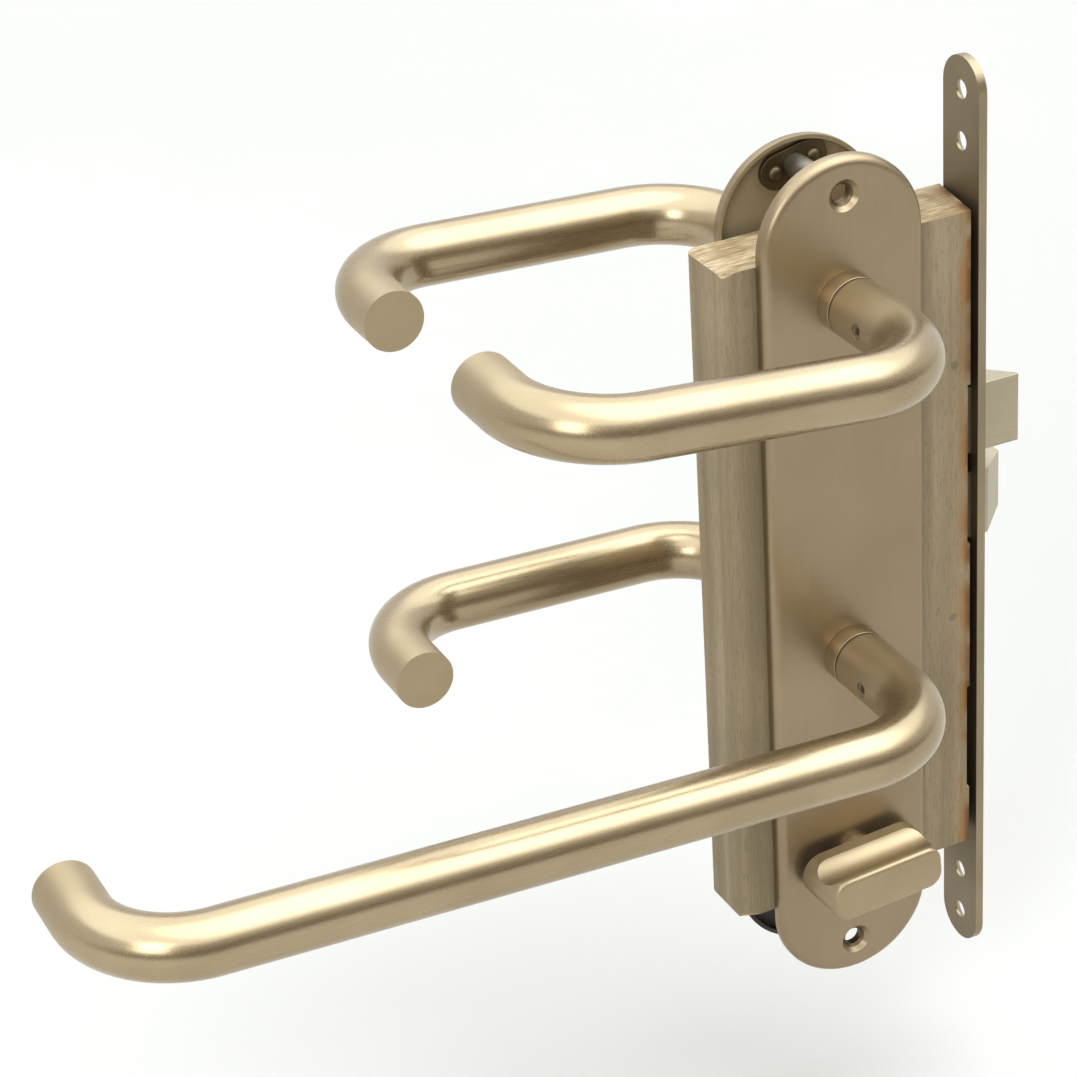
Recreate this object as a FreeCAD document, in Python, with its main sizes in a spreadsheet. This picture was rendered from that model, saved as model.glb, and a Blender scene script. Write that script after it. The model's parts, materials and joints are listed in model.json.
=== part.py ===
import FreeCAD, Part
import math
import os
import re
import Sketcher
from FreeCAD import Placement, Rotation, Vector

# Toilet door lock: mortise lock case in a short wooden door section, two long
# cover plates, four round-bar levers on two linked spindles, a thumb-turn.
# Origin: centre of the forend's outer face. +X out of the door edge,
# -Y the side with the thumb-turn, +Z up. Millimetres.

os.makedirs("parts", exist_ok=True)
doc = FreeCAD.newDocument("ToiletDoorLock")
sheet = doc.addObject("Spreadsheet::Sheet", "Sizes")
nodes = {}

X_AXIS = Vector(1, 0, 0)
Y_AXIS = Vector(0, 1, 0)
Z_AXIS = Vector(0, 0, 1)
SAME_PLACE = 0.001
ALONG = {
    "x": Rotation(Y_AXIS, 90),
    "y": Rotation(X_AXIS, -90),
    "z": Rotation(),
}


# Driving dimensions, in millimetres and degrees
SIZES = {
    # Main places
    "backset": 55,
    "spindle_distance": 125,
    "spindle_drop": 24,
    "turn_distance": 78,

    # Levers
    "tube_diameter": 20,
    "tube_wall": 1.5,
    "bend_radius": 30,
    "grip_height": 60,
    "short_reach": 130,
    "long_reach": 273,
    "return_length": 45,
    "end_cap": 2,
    "upper_tilt": 4.1,
    "upper_twist": 1.1,
    "lower_tilt": 2.2,
    "lower_twist": 0.1,
    "collar_length": 6,
    "seam_gap": 0.3,
    "insert_depth": 23,
    "journal_diameter": 14,
    "spindle_square": 8,
    "running_gap": 0.05,
    "grub_diameter": 5,
    "grub_place": 22.7,
    "grub_sink": 0.6,
    "grub_key": 2.5,
    "grub_key_depth": 1.5,
    "socket_floor": 2,
    "bar_end_gap": 1,

    # Cover plates
    "plate_width": 57,
    "plate_height": 297.7,
    "plate_depth": 5,
    "plate_wall": 1.5,
    "plate_edge": 3.2,
    "plate_drop": 0.8,
    "rear_plate_drop": 3.1,
    "plate_screw_inset": 12.2,
    "plate_screw_hole": 6.2,
    "plate_countersink": 10.6,
    "pad_length": 24,
    "pad_width": 12,
    "rear_pad_thickness": 2,
    "upper_pad_turn": 13,
    "post_length": 14,
    "post_diameter": 8,
    "post_bore": 4.2,
    "pin_diameter": 5,
    "pin_height": 1.6,
    "pin_offset": 7,

    # Wooden door section
    "block_thickness": 24,
    "block_depth": 88.8,
    "block_over": 4.7,
    "block_skew": 3.4,
    "top_fall": 1,
    "low_rise": 2.4,
    "block_edge": 4.5,
    "block_gap": 3.8,
    "spindle_bore": 22,
    "mouth_notch": 1,
    "mouth_height": 58,
    "lower_notch_height": 40,
    "lower_notch_drop": 74.5,

    # Forend
    "forend_length": 329,
    "forend_width": 21,
    "forend_thickness": 3,
    "forend_hole": 6.2,
    "forend_countersink": 10.4,
    "outer_hole_inset": 11,
    "inner_hole_inset": 28,
    "fixing_rise": 80,
    "fixing_fall": 62,
    "fixing_screw": 4,
    "fixing_head": 7.6,
    "fixing_slot": 1,
    "spacer_diameter": 8,

    # Case
    "case_thickness": 16.4,
    "case_wall": 1.2,
    "case_depth": 81,
    "case_top_room": 12.5,
    "case_low_room": 11.5,
    "pocket_gap": 0.3,
    "boss_diameter": 7,
    "boss_inset": 6,
    "boss_length": 6,
    "case_screw": 3,
    "case_screw_head": 5.4,
    "case_screw_depth": 8,
    "case_slot_depth": 0.6,
    "case_slot_width": 0.8,

    # Bolts
    "bolt_height": 24,
    "bolt_thickness": 13,
    "bolt_gap": 0.25,
    "latch_rise": 42,
    "latch_reach": 15,
    "latch_length": 40,
    "latch_tip": 1.2,
    "dead_rise": 11,
    "dead_reach": 13,
    "dead_travel": 13,
    "dead_length": 48,
    "dead_bevel": 9.4,
    "dead_bevel_depth": 8.4,
    "dead_cut": 10,
    "dead_cut_height": 3.9,
    "bar_thickness": 3,
    "bar_height": 6,
    "bar_front": 3.4,
    "tail_width": 8,
    "rivet_diameter": 4,
    "guide_thickness": 3,
    "guide_place": 53,
    "guide_margin": 5,
    "guide_front": 2,
    "spring_outside": 9.4,
    "spring_wire": 1,
    "spring_gap": 0.3,

    # Followers and their link
    "hub_diameter": 20,
    "hub_journal": 16,
    "crank_radius": 18,
    "crank_width": 9,
    "crank_thickness": 4,
    "crank_front": 3.9,
    "finger_radius": 25,
    "finger_tip": 3.2,
    "finger_gap": 0.45,
    "link_width": 7,
    "link_thickness": 2,
    "link_gap": 0.3,
    "link_pin": 4,
    "spring_seat": 16.4,
    "return_spring_diameter": 22,
    "return_spring_height": 5,

    # Thumb-turn and its cam
    "turn_square": 6,
    "turn_hub": 14,
    "cam_hub": 16,
    "cam_radius": 9.2,
    "cam_pin": 5,
    "cam_thickness": 3,
    "fork_gap": 0.35,
    "fork_over": 2,
    "fork_room": 0.8,
    "cam_seat_gap": 0.6,
    "cam_pin_over": 0.3,
    "cam_web": 1,
    "prong_width": 4,
    "strip_inset": 21,
    "strip_width": 10,
    "guide_pin": 5,
    "guide_drop": 69,
    "guide_pin_inset": 35,
    "guide_pin_over": 0.4,
    "turn_length": 44,
    "turn_height": 16,
    "turn_corner": 7.5,
    "turn_base": 4,
    "turn_stand": 3.5,
    "turn_projection": 23,
    "turn_tilt": 4,
    "grip_length": 40.5,
    "grip_width": 15.4,
    "grip_corner": 5.4,
    "grip_waist": 9,
    "grip_lip": 2.2,
    "grip_rounding": 1.6,
    "release_diameter": 22,
    "release_height": 4,
    "release_slot": 2,
    "release_slot_length": 18,
    "release_slot_width": 2.2,
    "release_floor": 1,
    "release_end_gap": 0.3,

    # How far a cutting tool runs past the face it leaves
    "cut_over": 1,
}
for row, (word, value) in enumerate(SIZES.items(), 1):
    sheet.set("A" + str(row), word)
    sheet.set("B" + str(row), str(value))
    sheet.setAlias("B" + str(row), word)
doc.recompute()


def v(word):
    """The number that the sheet holds under this word."""
    return float(sheet.get(word))


def bound(expression):
    """Put the sheet's name before each word of the sheet."""
    return re.sub(r"[a-z]+(?:_[a-z]+)+|backset",
                  lambda found: "Sizes." + found.group(0), str(expression))


def place(item, corner):
    """Bind an object's position to three expressions."""
    for letter, expression in zip("xyz", corner):
        item.setExpression("Placement.Base." + letter, bound(expression))


def box(corner, extent):
    item = doc.addObject("Part::Box", "Box")
    for side, expression in zip(("Length", "Width", "Height"), extent):
        item.setExpression(side, bound(expression))
    place(item, corner)
    return item


def cylinder(axis, start, diameter, length):
    item = doc.addObject("Part::Cylinder", "Cylinder")
    item.Placement = Placement(Vector(), ALONG[axis])
    item.setExpression("Radius", bound("(" + str(diameter) + ") / 2"))
    item.setExpression("Height", bound(length))
    place(item, start)
    return item


def cone(axis, start, first, second, length):
    """A cone from the first diameter to the second, along +axis."""
    item = doc.addObject("Part::Cone", "Cone")
    item.Placement = Placement(Vector(), ALONG[axis])
    item.setExpression("Radius1", bound("(" + str(first) + ") / 2"))
    item.setExpression("Radius2", bound("(" + str(second) + ") / 2"))
    item.setExpression("Height", bound(length))
    place(item, start)
    return item


def joined(items):
    item = doc.addObject("Part::MultiFuse", "Fuse")
    item.Shapes = items
    return item


def less(base, tools):
    item = doc.addObject("Part::Cut", "Cut")
    item.Base = base
    item.Tool = tools[0] if len(tools) == 1 else joined(tools)
    return item


def group(items):
    """Several separate solids in one node."""
    item = doc.addObject("Part::Compound", "Group")
    item.Links = items
    return item


def plain(shape):
    """A piece whose shape comes from Part's own functions."""
    item = doc.addObject("Part::Feature", "Piece")
    item.Shape = shape
    return item


def node(name, item):
    item.Label = name
    nodes[name] = item
    return item


# Shared places, as expressions of the sheet's words
SPINDLE_X = "-backset"
LOWER_Z = "-spindle_drop"
UPPER_Z = "(spindle_distance - spindle_drop)"
TURN_Z = "(-spindle_drop - turn_distance)"
BLOCK_FACE = "(block_thickness / 2)"
PLATE_FACE = "(block_thickness / 2 + plate_depth)"
BLOCK_EDGE = "(-forend_thickness - block_gap)"
PLATE_SCREW_LEVELS = ("(plate_height / 2 - plate_screw_inset - plate_drop)",
                      "(plate_screw_inset - plate_height / 2 - plate_drop)")
CASE_BACK = "(-forend_thickness - block_gap - case_depth)"
CASE_TOP = "(spindle_distance - spindle_drop + case_top_room)"
CASE_LOW = "(-spindle_drop - turn_distance - case_low_room)"
CASE_HEIGHT = "(spindle_distance + turn_distance + case_top_room + case_low_room)"
CASE_HALF = "(case_thickness / 2)"
INNER_HALF = "(case_thickness / 2 - case_wall)"
BAR_Y = "-bar_front"

spindle_x = -v("backset")
lower_z = -v("spindle_drop")
upper_z = v("spindle_distance") - v("spindle_drop")
turn_z = lower_z - v("turn_distance")
plate_face = v("block_thickness") / 2 + v("plate_depth")


# PartDesign helpers
def plane(body, role):
    for feature in body.Origin.OriginFeatures:
        if feature.Role == role:
            return feature


def sketch(body, name, role, height):
    """A sketch parallel to an origin plane of its own body."""
    item = body.newObject("Sketcher::SketchObject", name)
    item.AttachmentSupport = [(plane(body, role), "")]
    item.MapMode = "FlatFace"
    item.setExpression("AttachmentOffset.Base.z", bound(height))
    return item


def constrain(item, kind, numbers, word, expression):
    """Add a dimension and bind it to the sheet."""
    index = item.addConstraint(Sketcher.Constraint(kind, *numbers))
    item.renameConstraint(index, word)
    item.setExpression("Constraints." + word, bound(expression))


def stadium(item, width, length, centre_x, centre_y):
    """Two half circles and two straight sides; all sizes are expressions."""
    start_radius = 10
    start_half = 50
    top = Vector(0, start_half, 0)
    bottom = Vector(0, -start_half, 0)
    item.addGeometry(Part.ArcOfCircle(Part.Circle(top, Z_AXIS, start_radius), 0, math.pi))
    item.addGeometry(Part.ArcOfCircle(Part.Circle(bottom, Z_AXIS, start_radius), math.pi, 2 * math.pi))
    left = -start_radius
    item.addGeometry(Part.LineSegment(Vector(left, start_half, 0), Vector(left, -start_half, 0)))
    item.addGeometry(Part.LineSegment(Vector(start_radius, -start_half, 0),
                                      Vector(start_radius, start_half, 0)))
    item.addConstraint(Sketcher.Constraint("Tangent", 0, 2, 2, 1))
    item.addConstraint(Sketcher.Constraint("Tangent", 2, 2, 1, 1))
    item.addConstraint(Sketcher.Constraint("Tangent", 1, 2, 3, 1))
    item.addConstraint(Sketcher.Constraint("Tangent", 3, 2, 0, 1))
    item.addConstraint(Sketcher.Constraint("Vertical", 2))
    item.addConstraint(Sketcher.Constraint("Vertical", 3))
    half = "((" + length + ") - (" + width + ")) / 2"
    constrain(item, "Radius", (0, start_radius), "end_radius", "(" + width + ") / 2")
    constrain(item, "DistanceX", (-1, 1, 0, 3, 0), "top_x", centre_x)
    constrain(item, "DistanceY", (-1, 1, 0, 3, start_half), "top_y", "(" + centre_y + ") + " + half)
    constrain(item, "DistanceY", (-1, 1, 1, 3, -start_half), "low_y", "(" + centre_y + ") - " + half)


def circles(item, holes):
    """Round holes, each given as a name, x, y and diameter."""
    for index, (name, x, y, diameter) in enumerate(holes):
        item.addGeometry(Part.Circle(Vector(index, 0, 0), Z_AXIS, 1))
        constrain(item, "Radius", (index, 1), name + "_radius", "(" + diameter + ") / 2")
        constrain(item, "DistanceX", (-1, 1, index, 3, index), name + "_x", x)
        constrain(item, "DistanceY", (-1, 1, index, 3, 0), name + "_y", y)


def pad(body, profile, length):
    item = body.newObject("PartDesign::Pad", "Pad")
    item.Profile = profile
    item.setExpression("Length", bound(length))
    return item


def pocket(body, profile, length, backwards):
    item = body.newObject("PartDesign::Pocket", "Pocket")
    item.Profile = profile
    item.Reversed = backwards
    item.setExpression("Length", bound(length))
    return item


def edges_at(feature, letter, level):
    """Names of the edges that lie in the plane at this x or y."""
    found = []
    for index, edge in enumerate(feature.Shape.Edges):
        low = getattr(edge.BoundBox, letter + "Min")
        high = getattr(edge.BoundBox, letter + "Max")
        if abs(low - level) < SAME_PLACE and abs(high - level) < SAME_PLACE:
            found.append("Edge" + str(index + 1))
    return found


def upright(feature, names):
    """Those of the named edges that run along Z."""
    return [name for name in names
            if feature.Shape.getElement(name).BoundBox.YLength < SAME_PLACE]


def cover_plate(name, drop):
    """Hollow long plate with round ends, its rim against the door face."""
    body = doc.addObject("PartDesign::Body", name)
    outline = sketch(body, "Outline", "XZ_Plane", BLOCK_FACE)
    stadium(outline, "plate_width", "plate_height", SPINDLE_X, "-" + drop)
    shell = pad(body, outline, "plate_depth")
    doc.recompute()
    rounding = body.newObject("PartDesign::Fillet", "Rounding")
    rounding.Base = (shell, edges_at(shell, "Y", -plate_face))
    rounding.setExpression("Radius", bound("plate_edge"))
    hollow = sketch(body, "Hollow", "XZ_Plane", BLOCK_FACE)
    stadium(hollow, "plate_width - 2 * plate_wall", "plate_height - 2 * plate_wall", SPINDLE_X,
            "-" + drop)
    pocket(body, hollow, "plate_depth - plate_wall", True)
    holes = sketch(body, "Holes", "XZ_Plane", PLATE_FACE)
    bore = "journal_diameter + 2 * running_gap"
    circles(holes, [("upper", SPINDLE_X, UPPER_Z, bore), ("lower", SPINDLE_X, LOWER_Z, bore),
                    ("turn", SPINDLE_X, TURN_Z, "turn_hub + 2 * running_gap"),
                    ("high", SPINDLE_X, PLATE_SCREW_LEVELS[0], "plate_screw_hole"),
                    ("low", SPINDLE_X, PLATE_SCREW_LEVELS[1], "plate_screw_hole")])
    pocket(body, holes, "plate_depth", False)
    return body


def turned(name, item):
    """The same piece on the rear side: half a turn about the spindles' vertical."""
    copy = doc.addObject("Part::Feature", name)
    doc.recompute()
    copy.Shape = item.Shape.copy()
    copy.Placement = Placement(Vector(2 * spindle_x, 0, 0), Rotation(Z_AXIS, 180))
    return copy


def countersinks(level, thickness):
    """Screw cones of a front plate at both screw places."""
    cones = []
    for z in PLATE_SCREW_LEVELS:
        cones.append(cone("y", (SPINDLE_X, "-" + level, z), "plate_countersink",
                          "plate_countersink - 2 * (" + thickness + ")", thickness))
    return cones


def front_plate():
    sink = "(plate_countersink - plate_screw_hole) / 2"
    return less(cover_plate("FrontShell", "plate_drop"), countersinks(PLATE_FACE, sink))


def rear_plate():
    return turned("RearShell", cover_plate("RearBlank", "rear_plate_drop"))


def pad_blank(y, depth, z):
    """Round-ended pad against the inside of a plate's wall, round a screw."""
    half = "(pad_length - pad_width) / 2"
    middle = box((SPINDLE_X + " - " + half, y, z + " - pad_width / 2"), ("2 * " + half, depth, "pad_width"))
    left = cylinder("y", (SPINDLE_X + " - " + half, y, z), "pad_width", depth)
    right = cylinder("y", (SPINDLE_X + " + " + half, y, z), "pad_width", depth)
    return joined([middle, left, right])


def front_pads():
    sink = "(plate_countersink - plate_screw_hole) / 2"
    pads = []
    for z, sinker in zip(PLATE_SCREW_LEVELS, countersinks(PLATE_FACE, sink)):
        hole = cylinder("y", (SPINDLE_X, "-" + PLATE_FACE, z), "plate_screw_hole", "plate_depth + cut_over")
        blank = pad_blank("-" + PLATE_FACE + " + plate_wall", "plate_depth - plate_wall", z)
        pads.append(less(blank, [sinker, hole]))
    return group(pads)


def rear_pads():
    pads = []
    for z, turn in zip(PLATE_SCREW_LEVELS, (v("upper_pad_turn"), 0)):
        blank = pad_blank(PLATE_FACE + " - plate_wall - rear_pad_thickness", "rear_pad_thickness", z)
        hole = cylinder("y", (SPINDLE_X, BLOCK_FACE, z), "post_diameter", "plate_depth")
        item = less(blank, [hole])
        item.Placement = Placement(Vector(), Rotation(Y_AXIS, -turn), Vector(spindle_x, 0, level_of(z)))
        pads.append(item)
    return group(pads)


def level_of(z):
    """The number behind one of the two screw levels."""
    half = v("plate_height") / 2 - v("plate_screw_inset")
    return (half if z == PLATE_SCREW_LEVELS[0] else -half) - v("plate_drop")


def plate_posts():
    """Threaded posts that stand on the rear plate and meet the front screws."""
    posts = []
    for z in PLATE_SCREW_LEVELS:
        end = PLATE_FACE + " - plate_wall - post_length"
        post = cylinder("y", (SPINDLE_X, end, z), "post_diameter", "post_length")
        bore = cylinder("y", (SPINDLE_X, end, z), "post_bore", "post_length - plate_wall")
        posts.append(less(post, [bore]))
    return group(posts)


def pad_pins():
    """Domed rivet heads on the rear pads, standing into the gap between the plates."""
    pins = []
    radius = v("pin_diameter") / 2
    height = v("pin_height")
    ball_radius = (radius ** 2 + height ** 2) / (2 * height)
    pad_face = plate_face - v("plate_wall") - v("rear_pad_thickness")
    for z, turn in zip(PLATE_SCREW_LEVELS, (v("upper_pad_turn"), 0)):
        for side in (1, -1):
            away = Rotation(Y_AXIS, -turn).multVec(Vector(side * v("pin_offset"), 0, 0))
            seat = Vector(spindle_x, pad_face, level_of(z)) + away
            ball = Part.makeSphere(ball_radius, seat + Vector(0, ball_radius - height, 0))
            room = Part.makeCylinder(radius + 1, height + 1, seat, -Y_AXIS)
            pins.append(ball.common(room))
    return plain(Part.makeCompound(pins))


# Levers
def lever_path(reach, side, start, cut_short):
    """Centre line: neck, bend, grip along -X, bend, return leg towards the door."""
    bend = v("bend_radius")
    crest = side * (plate_face + v("grip_height"))
    near = crest - side * bend
    last = crest - side * (v("return_length") - cut_short)
    corner = bend * math.sin(math.pi / 4)
    first_arc = Part.Arc(Vector(0, near, 0), Vector(corner - bend, near + side * corner, 0),
                         Vector(-bend, crest, 0))
    second_arc = Part.Arc(Vector(bend - reach, crest, 0),
                          Vector(bend - reach - corner, near + side * corner, 0),
                          Vector(-reach, near, 0))
    edges = [
        Part.makeLine(Vector(0, start, 0), Vector(0, near, 0)),
        first_arc.toShape(),
        Part.makeLine(Vector(-bend, crest, 0), Vector(bend - reach, crest, 0)),
        second_arc.toShape(),
        Part.makeLine(Vector(-reach, near, 0), Vector(-reach, last, 0)),
    ]
    return Part.Wire(edges)


def swept(path, radius):
    start = path.Vertexes[0].Point
    ring = Part.Wire([Part.makeCircle(radius, start, Y_AXIS)])
    return path.makePipeShell([ring], True, False)


def lever(reach, side, tilt, level):
    """Bent tube with a closed end, from the collar's seam."""
    start = side * (plate_face + v("collar_length") + v("seam_gap"))
    outside = swept(lever_path(reach, side, start, 0), v("tube_diameter") / 2)
    inside = swept(lever_path(reach, side, start, v("end_cap")), v("tube_diameter") / 2 - v("tube_wall"))
    drill = Part.makeCylinder(v("grub_diameter") / 2, v("tube_diameter"),
                              Vector(0, side * (plate_face + v("grub_place")), 0), -X_AXIS)
    item = plain(outside.cut(inside).cut(drill))
    item.Placement = Placement(Vector(spindle_x, 0, level), Rotation(Y_AXIS, tilt))
    return item


def lever_inserts(tilt, twist, level):
    """Plugs in the necks, with the journal through the collar and the square socket."""
    plugs = []
    for side in (-1, 1):
        seam = plate_face + v("collar_length") + v("seam_gap")
        inner = v("tube_diameter") / 2 - v("tube_wall") - v("running_gap")
        direction = Vector(0, side, 0)
        plug = Part.makeCylinder(inner, v("insert_depth"), Vector(0, side * seam, 0), direction)
        journal_start = plate_face - v("plate_wall")
        journal = Part.makeCylinder(v("journal_diameter") / 2, seam - journal_start,
                                    Vector(0, side * journal_start, 0), direction)
        square = v("spindle_square") + 2 * v("running_gap")
        depth = seam + v("insert_depth") - v("socket_floor")
        socket = Part.makeBox(square, depth, square, Vector(-square / 2, min(0, side * depth), -square / 2))
        drill = Part.makeCylinder(v("grub_diameter") / 2, inner + v("cut_over"),
                                  Vector(0, side * (plate_face + v("grub_place")), 0), -X_AXIS)
        plug = plug.fuse(journal).cut(drill)
        plug.rotate(Vector(), Y_AXIS, -side * twist)
        plugs.append(plug.cut(socket))
    item = plain(Part.makeCompound(plugs))
    item.Placement = Placement(Vector(spindle_x, 0, level), Rotation(Y_AXIS, tilt))
    return item


def grub_screws(tilt, twist, level):
    """Set screws in the rear of the necks that hold the plugs on the square."""
    screws = []
    for side in (-1, 1):
        y = side * (plate_face + v("grub_place"))
        head = v("grub_sink") - v("tube_diameter") / 2
        tip = -v("spindle_square") / 2 - v("grub_diameter") / 2 * math.sin(math.radians(twist))
        screw = Part.makeCylinder(v("grub_diameter") / 2 - v("running_gap"), tip - head,
                                  Vector(head, y, 0), X_AXIS)
        key_size = v("grub_key")
        key = Part.makeBox(v("grub_key_depth"), key_size, key_size,
                           Vector(head, y - key_size / 2, -key_size / 2))
        screw = screw.cut(key)
        screw.rotate(Vector(), Y_AXIS, -side * twist)
        screws.append(screw)
    item = plain(Part.makeCompound(screws))
    item.Placement = Placement(Vector(spindle_x, 0, level), Rotation(Y_AXIS, tilt))
    return item


def spindle(tilt, level):
    """Square bar through both necks and the follower."""
    seam = v("collar_length") + v("seam_gap")
    half = plate_face + seam + v("insert_depth") - v("socket_floor") - v("bar_end_gap")
    square = v("spindle_square")
    item = plain(Part.makeBox(square, 2 * half, square, Vector(-square / 2, -half, -square / 2)))
    item.Placement = Placement(Vector(spindle_x, 0, level), Rotation(Y_AXIS, tilt))
    return item


def lever_collars():
    """Fixed rings on the plates that the lever necks turn against."""
    rings = []
    for level in (UPPER_Z, LOWER_Z):
        for y in ("-" + PLATE_FACE + " - collar_length", PLATE_FACE):
            ring = cylinder("y", (SPINDLE_X, y, level), "tube_diameter", "collar_length")
            bore = cylinder("y", (SPINDLE_X, y, level), "journal_diameter + 2 * running_gap",
                            "collar_length")
            rings.append(less(ring, [bore]))
    return group(rings)


# Wooden section
def edge_cut(depth, low, high):
    """What lies in front of the skewed lock edge moved back by this depth."""
    half = v("block_thickness") / 2
    edge = -v("forend_thickness") - v("block_gap") - depth
    skew = v("block_skew")
    slope = v("cut_over") * skew / (2 * half)
    front = half + v("cut_over")
    room = edge + skew + depth + v("cut_over")
    return prism([(edge - slope, -front), (edge + skew + slope, front), (room, front), (room, -front)],
                 low, high)


def saw_cuts(rear):
    """The skewed lock edge and the sloping cuts across the top and the bottom."""
    top = v("spindle_distance") - v("spindle_drop") + v("case_top_room") + v("block_over")
    low = -v("spindle_drop") - v("turn_distance") - v("case_low_room") - v("block_over")
    edge = v("block_skew") - v("forend_thickness") - v("block_gap")
    cuts = [edge_cut(0, low, top)]
    for corners in (((rear, top), (edge, top), (rear, top - v("top_fall"))),
                    ((rear, low), (edge, low), (edge, low + v("low_rise")))):
        points = [Vector(x, -v("block_thickness") / 2, z) for x, z in corners]
        face = Part.Face(Part.makePolygon(points + [points[0]]))
        cuts.append(face.extrude(Vector(0, v("block_thickness"), 0)))
    return cuts


def door_section():
    """Short piece of door leaf with rounded rear edges and the mortise for the case."""
    body = doc.addObject("PartDesign::Body", "Section")
    outline = sketch(body, "Outline", "XY_Plane", CASE_LOW + " - block_over")
    start = 10
    corners = [Vector(-start, -start, 0), Vector(start, -start, 0), Vector(start, start, 0),
               Vector(-start, start, 0)]
    for index in range(4):
        outline.addGeometry(Part.LineSegment(corners[index], corners[(index + 1) % 4]))
    for index in range(4):
        outline.addConstraint(Sketcher.Constraint("Coincident", index, 2, (index + 1) % 4, 1))
    for index, kind in enumerate(("Horizontal", "Vertical", "Horizontal", "Vertical")):
        outline.addConstraint(Sketcher.Constraint(kind, index))
    constrain(outline, "DistanceX", (0, 1, 0, 2, start), "depth", "block_depth + block_skew")
    constrain(outline, "DistanceY", (1, 1, 1, 2, start), "thickness", "block_thickness")
    constrain(outline, "DistanceX", (-1, 1, 1, 1, start), "edge_x", BLOCK_EDGE + " + block_skew")
    constrain(outline, "DistanceY", (-1, 1, 1, 2, start), "face_y", BLOCK_FACE)
    blank = pad(body, outline, CASE_HEIGHT + " + 2 * block_over")
    doc.recompute()
    rear = -v("forend_thickness") - v("block_gap") - v("block_depth")
    rounding = body.newObject("PartDesign::Fillet", "Rounding")
    rounding.Base = (blank, upright(blank, edges_at(blank, "X", rear)))
    rounding.setExpression("Radius", bound("block_edge"))
    tools = [plain(cut) for cut in saw_cuts(rear)]
    tools.append(box((CASE_BACK + " - pocket_gap", "-" + CASE_HALF + " - pocket_gap",
                      CASE_LOW + " - pocket_gap"),
                     ("case_depth + pocket_gap + block_skew + cut_over",
                      "case_thickness + 2 * pocket_gap", CASE_HEIGHT + " + 2 * pocket_gap")))
    for level in (UPPER_Z, LOWER_Z, TURN_Z):
        tools.append(cylinder("y", (SPINDLE_X, "-" + BLOCK_FACE, level), "spindle_bore",
                              "block_thickness"))
    half_notch = v("lower_notch_height") / 2
    for low, high in ((0, v("mouth_height")), (-v("lower_notch_drop") - half_notch,
                                               half_notch - v("lower_notch_drop"))):
        tools.append(plain(edge_cut(v("mouth_notch"), low, high)))
    return less(body, tools)


# Forend
def bolt_hole(x, thickness, rise):
    """Rectangular opening for one of the two bolts, right through a wall."""
    gap = " + 2 * bolt_gap"
    return box((x, "-bolt_thickness / 2 - bolt_gap", rise + " - bolt_height / 2 - bolt_gap"),
               (thickness, "bolt_thickness" + gap, "bolt_height" + gap))


def forend():
    """Long face plate with round ends, four countersunk holes and two bolt openings."""
    body = doc.addObject("PartDesign::Body", "ForendBlank")
    outline = sketch(body, "Outline", "YZ_Plane", "-forend_thickness")
    stadium(outline, "forend_width", "forend_length", "0", "0")
    pad(body, outline, "forend_thickness")
    holes = sketch(body, "Holes", "YZ_Plane", "0")
    places = []
    for name, inset in (("outer", "outer_hole_inset"), ("inner", "inner_hole_inset")):
        places.append((name + "_high", "0", "forend_length / 2 - " + inset, "forend_hole"))
        places.append((name + "_low", "0", inset + " - forend_length / 2", "forend_hole"))
    circles(holes, places)
    pocket(body, holes, "forend_thickness", False)
    tools = []
    depth = "(forend_countersink - forend_hole) / 2"
    for sign in ("", "-"):
        for inset in ("outer_hole_inset", "inner_hole_inset"):
            z = sign + "(forend_length / 2 - " + inset + ")"
            tools.append(cone("x", ("-" + depth, "0", z), "forend_hole", "forend_countersink", depth))
    for z in ("fixing_rise", "-fixing_fall"):
        tools.append(cylinder("x", ("-forend_thickness", "0", z), "fixing_screw", "forend_thickness"))
        sink = "(fixing_head - fixing_screw) / 2"
        tools.append(cone("x", ("-" + sink, "0", z), "fixing_screw", "fixing_head", sink))
    tools.append(bolt_hole("-forend_thickness", "forend_thickness", "latch_rise"))
    tools.append(bolt_hole("-forend_thickness", "forend_thickness", "dead_rise"))
    return less(body, tools)


def forend_spacers():
    """Bushes that keep the forend off the case."""
    bushes = []
    for z in ("fixing_rise", "-fixing_fall"):
        bush = cylinder("x", (BLOCK_EDGE, "0", z), "spacer_diameter", "block_gap")
        bore = cylinder("x", (BLOCK_EDGE, "0", z), "fixing_screw", "block_gap")
        bushes.append(less(bush, [bore]))
    return group(bushes)


def forend_screws():
    """Countersunk screws from the forend's face into the case."""
    screws = []
    for z in ("fixing_rise", "-fixing_fall"):
        sink = "(fixing_head - fixing_screw) / 2"
        shank = "forend_thickness + block_gap + case_wall + boss_length"
        stem = cylinder("x", ("-(" + shank + ")", "0", z), "fixing_screw", shank)
        head = cone("x", ("-" + sink, "0", z), "fixing_screw", "fixing_head", sink)
        slot = box(("-fixing_slot", "-fixing_head / 2", z + " - fixing_slot / 2"),
                   ("fixing_slot", "fixing_head", "fixing_slot"))
        screws.append(less(joined([stem, head]), [slot]))
    return group(screws)


# Case
BOSSES = []
for boss_x in (CASE_BACK + " + boss_inset", BLOCK_EDGE + " - boss_inset"):
    for boss_z in (CASE_TOP + " - boss_inset", CASE_LOW + " + boss_inset"):
        BOSSES.append((boss_x, boss_z))


def wall_bores(y):
    """Bearing holes for the followers and the cam in one side wall."""
    bores = []
    for level, diameter in ((UPPER_Z, "hub_journal"), (LOWER_Z, "hub_journal"), (TURN_Z, "turn_hub")):
        bores.append(cylinder("y", (SPINDLE_X, y, level), diameter + " + 2 * running_gap", "case_wall"))
    return bores


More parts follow.
